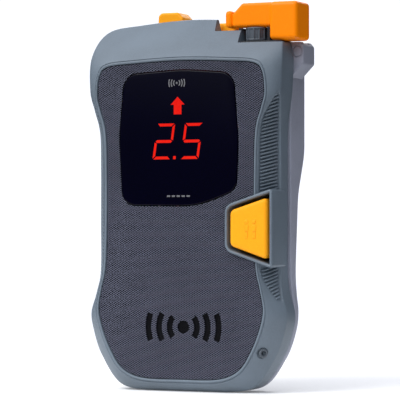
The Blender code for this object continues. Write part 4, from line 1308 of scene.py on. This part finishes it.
def camera():
    """A long lens, in front of the object and to its right."""
    right = Vector((math.cos(VIEW_AZIMUTH), math.sin(VIEW_AZIMUTH), 0.0))
    forward = Vector((-math.sin(VIEW_AZIMUTH), math.cos(VIEW_AZIMUTH), 0.0))
    data = bpy.data.cameras.new("camera")
    data.lens = LENS
    data.sensor_width = SENSOR
    data.clip_start = 0.01
    data.clip_end = 20.0
    item = bpy.data.objects.new("camera", data)
    item.location = at(0.0, 0.0, VIEW_HEIGHT) + (right * VIEW_SHIFT - forward * VIEW_DISTANCE) * MM
    item.rotation_euler = (math.pi / 2 + VIEW_TILT, 0.0, VIEW_AZIMUTH)
    bpy.context.scene.collection.objects.link(item)
    bpy.context.scene.camera = item


def floor():
    """A pale sheet under the object."""
    bm = bmesh.new()
    bmesh.ops.create_grid(bm, x_segments=8, y_segments=8, size=FLOOR_HALF)
    item = from_bmesh("floor", bm)
    nodes = new_finish("floor_paper")
    fine = nodes.noise(300.0, 3.0)
    nodes.drive("Base Color", nodes.mix(nodes.spread(fine), PAPER, PALE_PAPER))
    nodes.drive("Roughness", nodes.spread(fine, 0.85, 0.95))
    nodes.fix("Specular IOR Level", 0.0)
    nodes.fix("Emission Color", (1.0, 1.0, 1.0, 1.0))
    nodes.fix("Emission Strength", PAPER_GLOW)
    item.data.materials.append(nodes.owner)


def area_light(name, place_from, size, power, colour=(1.0, 1.0, 1.0)):
    """A rectangular lamp that faces the middle of the object."""
    data = bpy.data.lights.new(name, "AREA")
    data.shape = "RECTANGLE"
    data.size, data.size_y = size
    data.energy = power
    data.color = colour
    item = bpy.data.objects.new(name, data)
    item.location = place_from
    item.rotation_mode = "QUATERNION"
    item.rotation_quaternion = (Vector(LIT_POINT) - Vector(place_from)).to_track_quat("-Z", "Y")
    bpy.context.scene.collection.objects.link(item)


def world():
    """A bright sky for the camera, and for the light a soft dome, brightest at the upper left front."""
    nodes = Nodes(bpy.data.worlds.new("studio"), "Background", "Generated")
    bpy.context.scene.world = nodes.owner
    nodes.fix("Color", SKY_COLOUR)
    facing = nodes.add("ShaderNodeVectorMath", operation="DOT_PRODUCT")
    nodes.link(nodes.place, facing.inputs[0])
    facing.inputs[1].default_value = LIGHT_FROM
    rise = nodes.remap(facing.outputs["Value"], -0.15, 1.0, DOME_DARK, DOME_BRIGHT, "SMOOTHSTEP")
    above = nodes.remap(nodes.along("Z"), 0.0, 0.5, 0.12, 1.0, "SMOOTHSTEP")
    seen = nodes.add("ShaderNodeMix")
    nodes.link(nodes.add("ShaderNodeLightPath").outputs["Is Camera Ray"], seen.inputs["Factor"])
    nodes.link(nodes.math("MULTIPLY", rise, above), seen.inputs["A"])
    seen.inputs["B"].default_value = SKY_SEEN
    nodes.drive("Strength", seen.outputs["Result"])


def studio():
    area_light("key", KEY_FROM, (0.55, 0.55), 7.0, KEY_COLOUR)
    area_light("back", BACK_FROM, (0.7, 0.5), 4.0)
    world()
    bpy.context.scene.view_settings.view_transform = "Standard"


def build():
    camera()
    case_front()
    grip_ribs()
    front_panel()
    window()
    display()
    case_back()
    gasket()
    battery_door()
    coin_screw()
    cells()
    mode_lever()
    lever_hub()
    lever_well()
    lock_slider()
    option_button()
    carried_nodes()
    floor()
    studio()


build()
